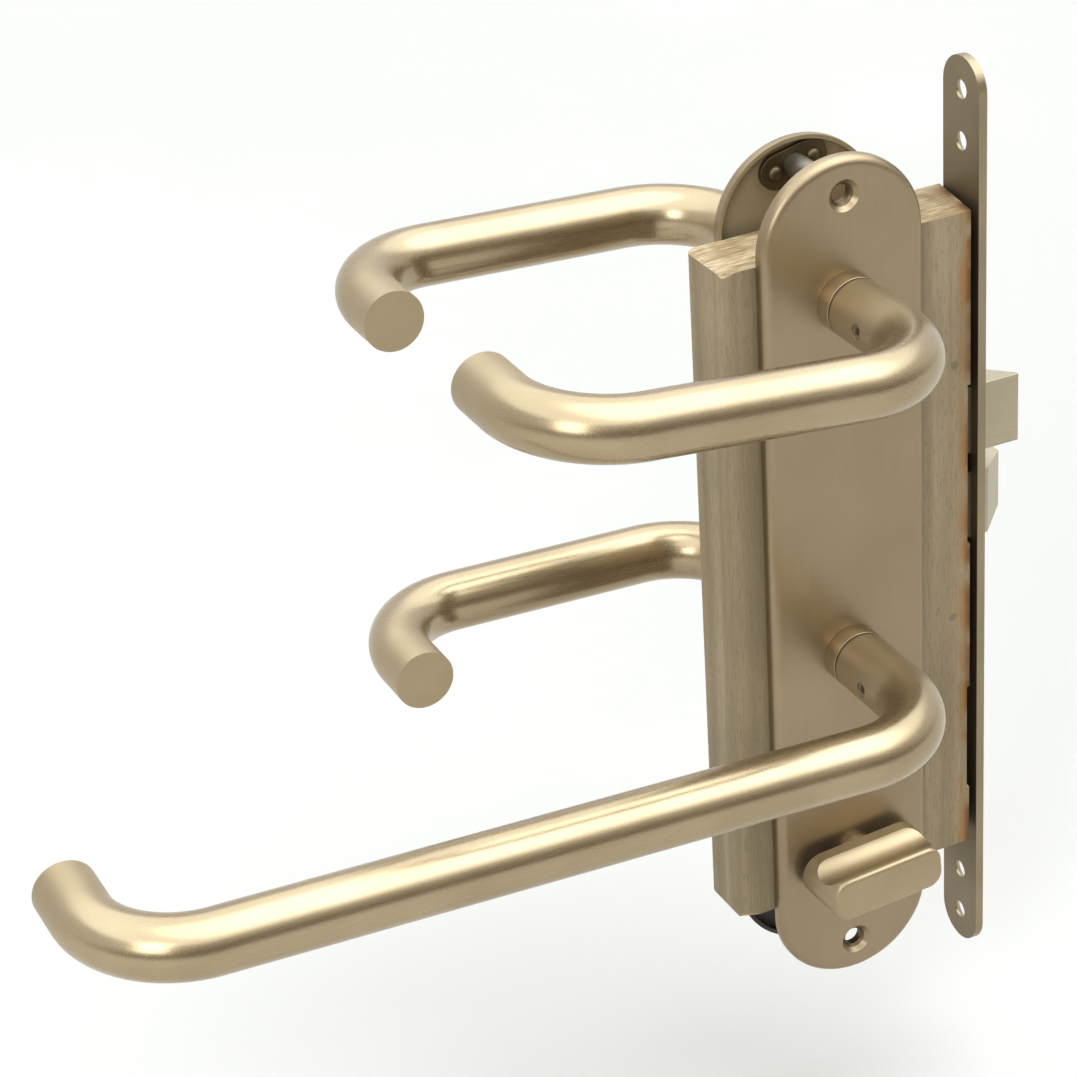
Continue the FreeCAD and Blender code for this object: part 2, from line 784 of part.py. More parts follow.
def case_body():
    """Folded steel tray: rear wall, four rims, screw bosses, forend bosses and bolt pin."""
    tray = box((CASE_BACK, "-" + INNER_HALF, CASE_LOW),
               ("case_depth", "case_thickness - case_wall", CASE_HEIGHT))
    inside = box((CASE_BACK + " + case_wall", "-" + INNER_HALF, CASE_LOW + " + case_wall"),
                 ("case_depth - 2 * case_wall", "case_thickness - 2 * case_wall",
                  CASE_HEIGHT + " - 2 * case_wall"))
    pieces = [less(tray, [inside])]
    for x, z in BOSSES:
        pieces.append(cylinder("y", (x, "-" + INNER_HALF, z), "boss_diameter",
                               "case_thickness - 2 * case_wall"))
    for z in ("fixing_rise", "-fixing_fall"):
        pieces.append(cylinder("x", (BLOCK_EDGE + " - case_wall - boss_length", "0", z),
                               "spacer_diameter", "boss_length + case_wall"))
    pieces.append(cylinder("y", ("-guide_pin_inset", "-bar_front - guide_pin_over", "-guide_drop"),
                           "guide_pin", INNER_HALF + " + bar_front + guide_pin_over"))
    tools = wall_bores(INNER_HALF)
    for x, z in BOSSES:
        tools.append(cylinder("y", (x, "-" + INNER_HALF, z), "case_screw",
                              "case_screw_depth"))
    for z in ("fixing_rise", "-fixing_fall"):
        tools.append(cylinder("x", (BLOCK_EDGE + " - case_wall - boss_length", "0", z), "fixing_screw",
                              "boss_length + case_wall"))
    tools.append(bolt_hole(BLOCK_EDGE + " - case_wall", "case_wall", "latch_rise"))
    tools.append(bolt_hole(BLOCK_EDGE + " - case_wall", "case_wall", "dead_rise"))
    return less(joined(pieces), tools)


def case_cover():
    """Flat lid on the thumb-turn side."""
    lid = box((CASE_BACK, "-" + CASE_HALF, CASE_LOW), ("case_depth", "case_wall", CASE_HEIGHT))
    tools = wall_bores("-" + CASE_HALF)
    for x, z in BOSSES:
        tools.append(cylinder("y", (x, "-" + CASE_HALF, z), "case_screw", "case_wall"))
        tools.append(cone("y", (x, "-" + CASE_HALF, z), "case_screw_head", "case_screw", "case_wall"))
    return less(lid, tools)


def case_screws():
    screws = []
    for x, z in BOSSES:
        stem = cylinder("y", (x, "-" + CASE_HALF, z), "case_screw",
                        "case_wall + case_screw_depth")
        head = cone("y", (x, "-" + CASE_HALF, z), "case_screw_head", "case_screw", "case_wall")
        slot = box((x + " - case_screw_head / 2", "-" + CASE_HALF, z + " - case_slot_width / 2"),
                   ("case_screw_head", "case_slot_depth", "case_slot_width"))
        screws.append(less(joined([stem, head]), [slot]))
    return group(screws)


# Latch
def prism(points, low, high):
    """Upright prism over a plan outline of (x, y) points."""
    corners = [Vector(x, y, low) for x, y in points]
    outline = Part.makePolygon(corners + [corners[0]])
    return Part.Face(outline).extrude(Vector(0, 0, high - low))


def latch_back():
    """Where the latch bolt's rear end is."""
    return v("latch_reach") - v("latch_length")


def latch_slot_length():
    """The bar goes three rivet diameters into the bolt, the rivet half way along."""
    return 3 * v("rivet_diameter")


def rear_slot(x, length, rise, height):
    """Slot in a bolt's back end for its bar."""
    gap = v("running_gap")
    return Part.makeBox(length, v("bar_thickness") + 2 * gap, height + 2 * gap,
                        Vector(x, -v("bar_front") - gap, rise - height / 2 - gap))


def latch_bolt():
    """Wedge-ended bolt: flat towards the thumb-turn side, bevel on the other."""
    half = v("bolt_thickness") / 2
    tip = v("latch_reach")
    back = latch_back()
    bevel = v("bolt_thickness") - v("latch_tip")
    points = [(back, -half), (tip, -half), (tip, v("latch_tip") - half), (tip - bevel, half), (back, half)]
    rise = v("latch_rise")
    body = prism(points, rise - v("bolt_height") / 2, rise + v("bolt_height") / 2)
    slot = rear_slot(back, latch_slot_length(), rise, v("bar_height"))
    rivet_place = Vector(back + latch_slot_length() / 2, -half, rise)
    hole = Part.makeCylinder(v("rivet_diameter") / 2, v("bolt_thickness"), rivet_place, Y_AXIS)
    return plain(body.cut(slot).cut(hole))


def latch_rivet():
    start = Vector(latch_back() + latch_slot_length() / 2, -v("bolt_thickness") / 2, v("latch_rise"))
    return plain(Part.makeCylinder(v("rivet_diameter") / 2, v("bolt_thickness"), start, Y_AXIS))


def latch_tail():
    """Flat bar behind the latch, with the leg that the lower follower's finger pulls."""
    front = -v("bar_front")
    thick = v("bar_thickness")
    leg_face = spindle_x - v("finger_tip") - v("finger_gap")
    leg_back = leg_face - v("tail_width")
    rise = v("latch_rise")
    end = latch_back() + latch_slot_length()
    bar = Part.makeBox(end - leg_back, thick, v("bar_height"), Vector(leg_back, front, rise - v("bar_height") / 2))
    leg_low = lower_z + v("finger_radius") - 2 * v("finger_tip")
    leg = Part.makeBox(v("tail_width"), thick, rise - leg_low, Vector(leg_back, front, leg_low))
    hole = Part.makeCylinder(v("rivet_diameter") / 2, thick,
                             Vector(latch_back() + latch_slot_length() / 2, front, rise), Y_AXIS)
    return plain(bar.fuse(leg).cut(hole).removeSplitter())


def latch_guide():
    """Bracket on the case wall that carries the latch bar and stops its spring."""
    bracket = box(("-guide_place", "-bar_front - guide_front", "latch_rise - bar_height / 2 - guide_margin"),
                  ("guide_thickness", INNER_HALF + " + bar_front + guide_front",
                   "bar_height + 2 * guide_margin"))
    window = box(("-guide_place", "-bar_front - bolt_gap", "latch_rise - bar_height / 2 - bolt_gap"),
                 ("guide_thickness", "bar_thickness + 2 * bolt_gap", "bar_height + 2 * bolt_gap"))
    return less(bracket, [window])


def latch_spring():
    """Pushes the latch out against the bracket; a plain sleeve of the coil's size."""
    start = -v("guide_place") + v("guide_thickness") + v("spring_gap")
    back = latch_back() - v("spring_gap")
    outer = v("spring_outside") / 2
    middle = Vector(start, v("bar_thickness") / 2 - v("bar_front"), v("latch_rise"))
    sleeve = Part.makeCylinder(outer, back - start, middle, X_AXIS)
    bore = Part.makeCylinder(outer - v("spring_wire"), back - start, middle, X_AXIS)
    return plain(sleeve.cut(bore))


# Followers and link
def follower(level, tilt_free, with_finger):
    """Hub with a square bore, journals in both case walls and a crank to the rear."""
    half = v("case_thickness") / 2
    inner = half - v("case_wall") - v("running_gap")
    seat = half - v("case_wall") - v("return_spring_height") - v("spring_gap")
    hub = Part.makeCylinder(v("hub_diameter") / 2, inner + seat, Vector(0, -inner, 0), Y_AXIS)
    spring_seat = Part.makeCylinder(v("spring_seat") / 2, 2 * inner, Vector(0, -inner, 0), Y_AXIS)
    journal = Part.makeCylinder(v("hub_journal") / 2, 2 * half, Vector(0, -half, 0), Y_AXIS)
    front = -v("crank_front")
    thick = v("crank_thickness")
    width = v("crank_width")
    reach = v("crank_radius")
    crank = Part.makeBox(reach, thick, width, Vector(-reach, front, -width / 2))
    crank_end = Part.makeCylinder(width / 2, thick, Vector(-reach, front, 0), Y_AXIS)
    shape = hub.fuse([spring_seat, journal, crank, crank_end])
    if with_finger:
        tip = v("finger_tip")
        finger = Part.makeBox(2 * tip, v("bar_thickness"), v("finger_radius"),
                              Vector(-tip, -v("bar_front"), 0))
        finger_end = Part.makeCylinder(tip, v("bar_thickness"),
                                       Vector(0, -v("bar_front"), v("finger_radius")), Y_AXIS)
        shape = shape.fuse([finger, finger_end])
    square = v("spindle_square") + 2 * v("running_gap")
    bore = Part.makeBox(square, 2 * half, square, Vector(-square / 2, -half, -square / 2))
    bore.rotate(Vector(), Y_AXIS, tilt_free)
    pin_hole = Part.makeCylinder(v("link_pin") / 2, thick, Vector(-reach, front, 0), Y_AXIS)
    item = plain(shape.cut(bore).cut(pin_hole))
    item.Placement = Placement(Vector(spindle_x, 0, level), Rotation())
    return item


def link_pin(level):
    """Shouldered pin in a crank's end that carries one end of the link."""
    x = spindle_x - v("crank_radius")
    link_front = -v("crank_front") - v("link_gap") - v("link_thickness")
    stem = Part.makeCylinder(v("link_pin") / 2, v("crank_thickness") - v("crank_front") - link_front,
                             Vector(x, link_front, level), Y_AXIS)
    return plain(stem)


def follower_link():
    """Flat bar that makes both followers turn together."""
    front = -v("crank_front") - v("link_gap") - v("link_thickness")
    x = spindle_x - v("crank_radius")
    width = v("link_width")
    bar = Part.makeBox(width, v("link_thickness"), upper_z - lower_z, Vector(x - width / 2, front, lower_z))
    ends = [Part.makeCylinder(width / 2, v("link_thickness"), Vector(x, front, z), Y_AXIS)
            for z in (lower_z, upper_z)]
    shape = bar.fuse(ends)
    for level, gap in ((lower_z, v("running_gap")), (upper_z, 2 * v("running_gap"))):
        shape = shape.cut(Part.makeCylinder(v("link_pin") / 2 + gap, v("link_thickness"),
                                            Vector(x, front, level), Y_AXIS))
    return plain(shape.removeSplitter())


def return_spring(level):
    """Coil round the follower's hub on the rear side; a plain ring of the coil's size."""
    top = v("case_thickness") / 2 - v("case_wall")
    low = top - v("return_spring_height")
    bore = v("spring_seat") / 2 + v("spring_gap")
    start = Vector(spindle_x, low, level)
    ring = Part.makeCylinder(v("return_spring_diameter") / 2, top - low, start, Y_AXIS)
    return plain(ring.cut(Part.makeCylinder(bore, top - low, start, Y_AXIS)))


# Dead bolt
def dead_bolt():
    """Straight bolt with its bevel on the thumb-turn side and a sloping cut below."""
    half = v("bolt_thickness") / 2
    tip = v("dead_reach")
    back = tip - v("dead_length")
    rise = v("dead_rise")
    low = rise - v("bolt_height") / 2
    points = [(back, -half), (tip - v("dead_bevel"), -half), (tip, v("dead_bevel_depth") - half),
              (tip, half), (back, half)]
    body = prism(points, low, rise + v("bolt_height") / 2)
    wedge_points = [Vector(tip, -half, low), Vector(tip, -half, low + v("dead_cut_height")),
                    Vector(tip - v("dead_cut"), -half, low)]
    wedge = Part.Face(Part.makePolygon(wedge_points + [wedge_points[0]])).extrude(Vector(0, 2 * half, 0))
    slot = rear_slot(back, -v("strip_inset") - back, rise, v("bolt_height"))
    body = body.cut(wedge).cut(slot)
    for place_z in rivet_levels():
        start = Vector(rivet_x(), -half, place_z)
        body = body.cut(Part.makeCylinder(v("rivet_diameter") / 2, 2 * half, start, Y_AXIS))
    return plain(body)


def rivet_x():
    """Half way along the plate's part inside the bolt."""
    return (v("dead_reach") - v("dead_length") - v("strip_inset")) / 2


def rivet_levels():
    rise = v("dead_rise")
    return (rise - v("bolt_height") / 4, rise + v("bolt_height") / 4)


def bolt_rivets():
    half = v("bolt_thickness") / 2
    rivets = []
    for level in rivet_levels():
        rivets.append(Part.makeCylinder(v("rivet_diameter") / 2, 2 * half,
                                        Vector(rivet_x(), -half, level), Y_AXIS))
    return plain(Part.makeCompound(rivets))


def bolt_plate():
    """Flat plate from the dead bolt down to the fork round the cam's pin."""
    front = -v("bar_front")
    thick = v("bar_thickness")
    back = v("dead_reach") - v("dead_length")
    rise = v("dead_rise")
    inset = v("strip_inset")
    fork_top = turn_z + v("cam_radius") + v("cam_pin") / 2 + v("fork_over")
    fork_low = turn_z + v("turn_square") * math.sqrt(0.5) + v("fork_room")
    fork_mid = spindle_x + v("cam_radius") * math.sin(math.pi / 4)
    half_slot = v("cam_pin") / 2 + v("fork_gap")
    fork_left = fork_mid - half_slot - v("prong_width")
    strip_right = -inset
    strip_left = strip_right - v("strip_width")
    lobe_half = v("guide_pin") / 2 + v("prong_width")
    head_height = v("bolt_height")

    def slab(left, right, low, high):
        return Part.makeBox(right - left, thick, high - low, Vector(left, front, low))

    head = slab(back, strip_right, rise - head_height / 2, rise + head_height / 2)
    strip = slab(strip_left, strip_right, fork_top, rise)
    pin_x = -v("guide_pin_inset")
    slot_gap = v("guide_pin") / 2 + v("bolt_gap")
    lobe = slab(pin_x - slot_gap - v("prong_width"), pin_x + v("dead_travel") + slot_gap + v("prong_width"),
                -v("guide_drop") - lobe_half, -v("guide_drop") + lobe_half)
    tongue = slab(fork_left, strip_right, fork_top, fork_top + 2 * v("prong_width"))
    fork = slab(fork_left, fork_mid + half_slot + v("prong_width"), fork_low, fork_top)
    slot = slab(fork_mid - half_slot, fork_mid + half_slot, fork_low, fork_top)
    shape = head.fuse([strip, lobe, tongue, fork]).cut(slot)
    window = slab(pin_x, pin_x + v("dead_travel"), -v("guide_drop") - slot_gap, -v("guide_drop") + slot_gap)
    for x in (pin_x, pin_x + v("dead_travel")):
        window = window.fuse(Part.makeCylinder(slot_gap, thick, Vector(x, front, -v("guide_drop")), Y_AXIS))
    shape = shape.cut(window)
    for level in rivet_levels():
        shape = shape.cut(Part.makeCylinder(v("rivet_diameter") / 2, thick,
                                            Vector(rivet_x(), front, level), Y_AXIS))
    return plain(shape.removeSplitter())


# Thumb-turn, its bar, cam and the release disc
# Degrees the cam's arm leans from the vertical at either end of its quarter turn
CAM_REST = 45


def turn_place():
    """Where the turn's pieces sit: on the turn's axis, the left end a little low."""
    return Placement(Vector(spindle_x, 0, turn_z), Rotation(Y_AXIS, -v("turn_tilt")))


def turn_cam():
    """Cam on the turn's bar: journal in the rear wall, arm and pin for the fork."""
    half = v("case_thickness") / 2
    seat = v("bar_thickness") - v("bar_front") + v("cam_seat_gap")
    thick = v("cam_thickness")
    hub = Part.makeCylinder(v("cam_hub") / 2, thick, Vector(0, seat, 0), Y_AXIS)
    journal = Part.makeCylinder(v("turn_hub") / 2, half - seat, Vector(0, seat, 0), Y_AXIS)
    reach = v("cam_radius")
    radius = v("cam_pin") / 2
    arm_half = radius + v("cam_web")
    arm = Part.makeCylinder(arm_half, thick, Vector(0, seat, reach), Y_AXIS)
    web = Part.makeBox(2 * arm_half, thick, reach, Vector(-arm_half, seat, 0))
    pin_front = -v("bar_front") - v("cam_pin_over")
    pin = Part.makeCylinder(radius, seat - pin_front, Vector(0, pin_front, reach), Y_AXIS)
    square = v("turn_square") + 2 * v("running_gap")
    bore = Part.makeBox(square, half - seat, square, Vector(-square / 2, seat, -square / 2))
    bore.rotate(Vector(), Y_AXIS, -CAM_REST - v("turn_tilt"))
    item = plain(hub.fuse([journal, arm, web, pin]).cut(bore))
    item.Placement = Placement(Vector(spindle_x, 0, turn_z), Rotation(Y_AXIS, CAM_REST))
    return item


def turn_spindle():
    """Square bar from the thumb-turn to the release disc."""
    square = v("turn_square")
    front = plate_face + v("turn_stand") + v("turn_base")
    rear = release_socket_end() - v("release_end_gap")
    item = plain(Part.makeBox(square, front + rear, square, Vector(-square / 2, -front, -square / 2)))
    item.Placement = turn_place()
    return item


def release_socket_end():
    """How deep the bar's hole goes into the release disc."""
    return plate_face + v("seam_gap") + v("release_height") - v("release_slot") - v("release_floor")


def turn_socket(start, depth):
    """Square hole for the turn's bar."""
    square = v("turn_square") + 2 * v("running_gap")
    return Part.makeBox(square, depth, square, Vector(-square / 2, start, -square / 2))


def rounded_outline(length, height, corner, y):
    """Rounded rectangle square to the turn's axis, as a face."""
    plate = Part.makeBox(length, v("turn_base"), height, Vector(-length / 2, y, -height / 2))
    uprights = [edge for edge in plate.Edges if edge.BoundBox.YLength > SAME_PLACE]
    rounded = plate.makeFillet(corner, uprights)
    for face in rounded.Faces:
        if abs(face.BoundBox.YMax - y) < SAME_PLACE:
            return face


def thumb_turn():
    """Round-ended base that narrows to a rounded grip, both flanks hollowed lengthwise."""
    bottom = -plate_face - v("turn_stand")
    base_top = bottom - v("turn_base")
    crest = -plate_face - v("turn_projection")
    length = v("turn_length")
    base = rounded_outline(length, v("turn_height"), v("turn_corner"), bottom)
    front = rounded_outline(v("grip_length"), v("grip_width"), v("grip_corner"), crest)
    shape = Part.makeLoft([base.OuterWire, front.OuterWire], True, True)
    rim = [edge for edge in shape.Edges if edge.BoundBox.YMax < crest + SAME_PLACE]
    shape = shape.makeFillet(v("grip_rounding"), rim)
    lip = crest + v("grip_lip")
    for side in (1, -1):
        arc = Part.Circle(Vector(0, base_top, side * v("turn_height") / 2),
                          Vector(0, (base_top + lip) / 2, side * v("grip_waist") / 2),
                          Vector(0, lip, side * v("turn_height") / 2))
        shape = shape.cut(Part.makeCylinder(arc.Radius, 2 * length, arc.Center - X_AXIS * length, X_AXIS))
    hub_length = v("turn_stand") + v("plate_wall")
    shape = shape.fuse(Part.makeCylinder(v("turn_hub") / 2, hub_length, Vector(0, bottom, 0), Y_AXIS))
    item = plain(shape.cut(turn_socket(base_top, hub_length + v("turn_base"))))
    item.Placement = turn_place()
    return item


def release_disc():
    """Round disc with a coin slot on the rear plate, for opening from outside."""
    radius = v("release_diameter") / 2
    gap = v("seam_gap")
    start = plate_face + gap
    disc = Part.makeCylinder(radius, v("release_height"), Vector(0, start, 0), Y_AXIS)
    hub = Part.makeCylinder(v("turn_hub") / 2, gap + v("plate_wall"),
                            Vector(0, plate_face - v("plate_wall"), 0), Y_AXIS)
    depth = v("release_slot")
    slot_length = v("release_slot_length")
    slot_width = v("release_slot_width")
    slot = Part.makeBox(slot_length, depth, slot_width,
                        Vector(-slot_length / 2, start + v("release_height") - depth, -slot_width / 2))
    socket_start = plate_face - v("plate_wall")
    socket = turn_socket(socket_start, release_socket_end() - socket_start)
    item = plain(disc.fuse(hub).cut(slot).cut(socket))
    item.Placement = turn_place()
    return item


node("forend", forend())
node("forend_spacers", forend_spacers())
node("forend_screws", forend_screws())
node("door_section", door_section())
node("case_body", case_body())
node("case_cover", case_cover())
node("case_screws", case_screws())
node("front_plate", front_plate())
node("rear_plate", rear_plate())
node("front_pads", front_pads())
node("rear_pads", rear_pads())
node("plate_posts", plate_posts())
node("pad_pins", pad_pins())
node("lever_collars", lever_collars())
node("latch_guide", latch_guide())
node("latch_spring", latch_spring())
node("upper_return_spring", return_spring(upper_z))
node("lower_return_spring", return_spring(lower_z))

node("upper_front_lever", lever(v("short_reach"), -1, v("upper_tilt") + v("upper_twist"), upper_z))
node("upper_rear_lever", lever(v("short_reach"), 1, v("upper_tilt") - v("upper_twist"), upper_z))
node("upper_lever_inserts", lever_inserts(v("upper_tilt"), v("upper_twist"), upper_z))
node("upper_grub_screws", grub_screws(v("upper_tilt"), v("upper_twist"), upper_z))
node("upper_spindle", spindle(v("upper_tilt"), upper_z))
node("upper_follower", follower(upper_z, v("upper_tilt"), False))
node("upper_link_pin", link_pin(upper_z))

node("lower_front_lever", lever(v("long_reach"), -1, v("lower_tilt") + v("lower_twist"), lower_z))
node("lower_rear_lever", lever(v("short_reach"), 1, v("lower_tilt") - v("lower_twist"), lower_z))
node("lower_lever_inserts", lever_inserts(v("lower_tilt"), v("lower_twist"), lower_z))
node("lower_grub_screws", grub_screws(v("lower_tilt"), v("lower_twist"), lower_z))
node("lower_spindle", spindle(v("lower_tilt"), lower_z))
node("lower_follower", follower(lower_z, v("lower_tilt"), True))
node("lower_link_pin", link_pin(lower_z))
node("follower_link", follower_link())

node("latch_bolt", latch_bolt())
node("latch_tail", latch_tail())
node("latch_rivet", latch_rivet())

node("thumb_turn", thumb_turn())
node("turn_spindle", turn_spindle())
node("turn_cam", turn_cam())
node("release_disc", release_disc())

node("dead_bolt", dead_bolt())
node("bolt_plate", bolt_plate())
node("bolt_rivets", bolt_rivets())

doc.recompute()
for item in doc.Objects:
    if "Invalid" in item.State or "Error" in item.State:
        raise RuntimeError("failed object: " + item.Name + " " + item.Label)
for name, item in nodes.items():
    if item.Shape.isNull() or not item.Shape.isValid():
        raise RuntimeError("bad shape: " + name)
for name, item in nodes.items():
    item.Shape.exportStep("parts/" + name + ".step")
    extent = item.Shape.BoundBox
    print(name, len(item.Shape.Solids), "solids", round(item.Shape.Volume), "mm3",
          round(extent.XLength, 1), round(extent.YLength, 1), round(extent.ZLength, 1))
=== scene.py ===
import json
import math
import bmesh
import bpy
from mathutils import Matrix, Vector

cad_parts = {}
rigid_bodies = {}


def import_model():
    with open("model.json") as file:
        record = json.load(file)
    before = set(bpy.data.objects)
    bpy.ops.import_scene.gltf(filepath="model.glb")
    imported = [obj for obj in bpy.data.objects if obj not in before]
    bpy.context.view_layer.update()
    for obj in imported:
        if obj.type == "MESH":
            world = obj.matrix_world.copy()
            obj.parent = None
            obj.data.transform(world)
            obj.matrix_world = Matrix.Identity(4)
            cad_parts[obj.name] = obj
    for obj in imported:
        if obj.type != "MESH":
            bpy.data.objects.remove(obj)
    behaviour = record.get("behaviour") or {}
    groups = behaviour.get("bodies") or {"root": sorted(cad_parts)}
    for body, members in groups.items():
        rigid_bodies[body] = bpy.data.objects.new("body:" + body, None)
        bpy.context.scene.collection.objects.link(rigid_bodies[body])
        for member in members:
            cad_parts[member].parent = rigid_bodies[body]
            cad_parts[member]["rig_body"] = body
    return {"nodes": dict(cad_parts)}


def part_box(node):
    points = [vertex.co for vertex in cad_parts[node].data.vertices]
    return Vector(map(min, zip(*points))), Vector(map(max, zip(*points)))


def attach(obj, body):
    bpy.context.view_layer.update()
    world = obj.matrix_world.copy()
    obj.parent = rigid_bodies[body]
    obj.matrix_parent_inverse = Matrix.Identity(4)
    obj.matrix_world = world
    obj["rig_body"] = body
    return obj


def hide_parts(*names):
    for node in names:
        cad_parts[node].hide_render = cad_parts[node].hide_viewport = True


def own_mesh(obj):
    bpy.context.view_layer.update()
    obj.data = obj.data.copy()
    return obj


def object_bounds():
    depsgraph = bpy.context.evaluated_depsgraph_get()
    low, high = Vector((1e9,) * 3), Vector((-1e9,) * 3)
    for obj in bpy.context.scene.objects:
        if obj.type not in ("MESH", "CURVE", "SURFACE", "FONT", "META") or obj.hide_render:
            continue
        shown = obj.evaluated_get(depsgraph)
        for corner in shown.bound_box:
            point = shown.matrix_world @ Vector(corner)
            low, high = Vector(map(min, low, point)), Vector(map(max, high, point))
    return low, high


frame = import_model()
cad_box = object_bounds()
nodes = frame["nodes"]

# Toilet door lock on a short piece of wooden door. Metres, in the frame of the
# CAD: origin at the centre of the forend's outer face, +X out of the door's
# edge, -Y towards the thumb-turn's side, +Z up.
MM = 0.001

# Main places
SPINDLE_X = -55 * MM
UPPER_Z = 101 * MM
LOWER_Z = -24 * MM
PLATE_FACE = 17 * MM
PAD_FACE = 13.5 * MM
UPPER_SCREW_Z = 135.85 * MM
LOWER_SCREW_Z = -137.45 * MM

# Levers
TUBE = 20 * MM
BEND = 30 * MM
CREST = 77 * MM
SEAM = 23.3 * MM
COLLAR = 6 * MM
COLLAR_BORE = 14.1 * MM
RETURN = 45 * MM
SHORT_REACH = 130 * MM
LONG_REACH = 273 * MM
UPPER_TILT = math.radians(4.1)
UPPER_TWIST = math.radians(1.1)
LOWER_TILT = math.radians(2.2)
LOWER_TWIST = math.radians(0.1)
GRUB_PLACE = 39.7 * MM
GRUB_HOLE = 5 * MM
GRUB_HOLE_DEPTH = 2 * MM

# Half the length of the cover plates' straight sides
PLATE_STRAIGHT = 120 * MM

# The lock edge of the wood leans by this share of y and its middle lies this far out, in mm
EDGE_SKEW = 3.4 / 24
EDGE_SHIFT = 1.7

# The wood's front far edge is rounded with this radius and flattened by this power
ARRIS = 4.5 * MM
ARRIS_POWER = 0.45

# Planes that splinters have broken off along, at the top and at the bottom of that edge: a point of
# the plane in mm, and the way it faces
SPLINTERS = (((-94.0, -10.9, 117.0), (-0.3, -0.62, 0.72)),
             ((-93.8, -10.9, -117.4), (-0.25, -0.7, -0.67)))

# Two small round marks on the wood near its lock edge: x and z in mm, and their radius
WOOD_MARKS = ((-13.3, -25.8), (-12.6, 66.3))
MARK_RADIUS = 1.7 * MM

# How much the floor glows for direct rays, and how far it lies below the forend: the long lever
# swings below the forend's end
FLOOR_GLOW = 0.07
FLOOR_DROP = 40 * MM

# Painted shade inside the cover plates starts at this height and is full at the next
INSIDE_SHADE_FROM = -90 * MM
INSIDE_SHADE_TO = -115 * MM

# The forend's back is darker, with painted shade of the gap along the wood, up to this distance from its
# middle and paler from the next
BACK_DARK = 105 * MM
BACK_PALE = 140 * MM

# The levers' necks are dull up to this distance from the door's middle and shine from the next
NECK_DULL = 44 * MM
NECK_BRIGHT = 64 * MM

# Painted shade in the gap at a neck's seam is dark up to this distance from the seam and gone at the next
SEAM_SHADED = 0.5 * MM
SEAM_UNSHADED = 1.1 * MM

# Years of hands and polish have dulled the steel, so that it mirrors less than clean metal
WORN_METALLIC = 0.85

# The pale floor reaches this far to each side and has clouds of this size
FLOOR_HALF = 6.0
FLOOR_CLOUD = 0.4

# The lamps' cool white
DAYLIGHT = (0.93, 0.98, 1.0)

# The camera, in metres, degrees and millimetres of lens
CAMERA_PLACE = (-0.52172, -0.82496, 0.52336)
CAMERA_TURN = (61.766, 3.324, -25.803)
CAMERA_LENS = 110.65
CAMERA_SHIFT = (-0.00486, -0.00214)

# Kinds of node that are used again and again
MATH = "ShaderNodeMath"
MIX = "ShaderNodeMix"
RAMP = "ShaderNodeValToRGB"
RANGE = "ShaderNodeMapRange"
NOISE = "ShaderNodeTexNoise"
BUMP = "ShaderNodeBump"
PARTS = "ShaderNodeSeparateXYZ"
VECTOR = "ShaderNodeCombineXYZ"
SWEEP = "GeometryNodeCurveToMesh"
MOVE = "GeometryNodeTransform"
GATHER = "GeometryNodeJoinGeometry"

# Sockets of a Mix node for colours, which has others of the same names for numbers and vectors
FACTOR = 0
UNDER = 6
OVER = 7


# Nodes of materials and of geometry
def linear(hex_colour):
    """An sRGB hex colour as linear red, green, blue and alpha."""
    parts = [int(hex_colour[i:i + 2], 16) / 255 for i in (1, 3, 5)]
    parts = [p / 12.92 if p <= 0.04045 else ((p + 0.055) / 1.055) ** 2.4 for p in parts]
    return (*parts, 1)


def fill(tree, socket, source):
    """Give an input its number, hex colour, node or node's output, or a list where it takes several."""
    if isinstance(source, list):
        for each in source:
            fill(tree, socket, each)
    elif isinstance(source, bpy.types.Node):
        fill(tree, socket, next(output for output in source.outputs if output.enabled))
    elif isinstance(source, bpy.types.NodeSocket):
        tree.links.new(source, socket)
    elif isinstance(source, str):
        socket.default_value = linear(source)
    else:
        socket.default_value = source


def add(tree, kind, inputs=(), stops=(), **settings):
    """A node with its settings and links. Inputs come in the order of its sockets, or in a dict by
    socket. Stops are the places and tones of a colour ramp."""
    item = tree.nodes.new(kind)
    for word, setting in settings.items():
        setattr(item, word, setting)
    for key, source in inputs.items() if isinstance(inputs, dict) else enumerate(inputs):
        fill(tree, item.inputs[key], source)
    if stops:
        elements = item.color_ramp.elements
        while len(elements) < len(stops):
            elements.new(0.5)
        for element, (place, tone) in zip(elements, stops):
            element.position = place
            element.color = linear(tone) if isinstance(tone, str) else (tone, tone, tone, 1)
    return item


def surface(name):
    """A new material with its tree, shader inputs and object coordinates."""
    material = bpy.data.materials.new(name)
    material.use_nodes = True
    tree = material.node_tree
    tree.nodes.clear()
    shader = add(tree, "ShaderNodeBsdfPrincipled")
    add(tree, "ShaderNodeOutputMaterial", {"Surface": shader})
    place = add(tree, "ShaderNodeTexCoord").outputs["Object"]
    return material, tree, shader.inputs, place


def streaks(tree, place, across, along, axis, detail=2.0):
    """Noise drawn out along one axis; across and along are sizes in metres."""
    scale = [1 / across] * 3
    scale["XYZ".index(axis)] = 1 / along
    stretched = add(tree, "ShaderNodeMapping", {"Vector": place, "Scale": tuple(scale)})
    return add(tree, NOISE, {"Vector": stretched, "Scale": 1.0, "Detail": detail})


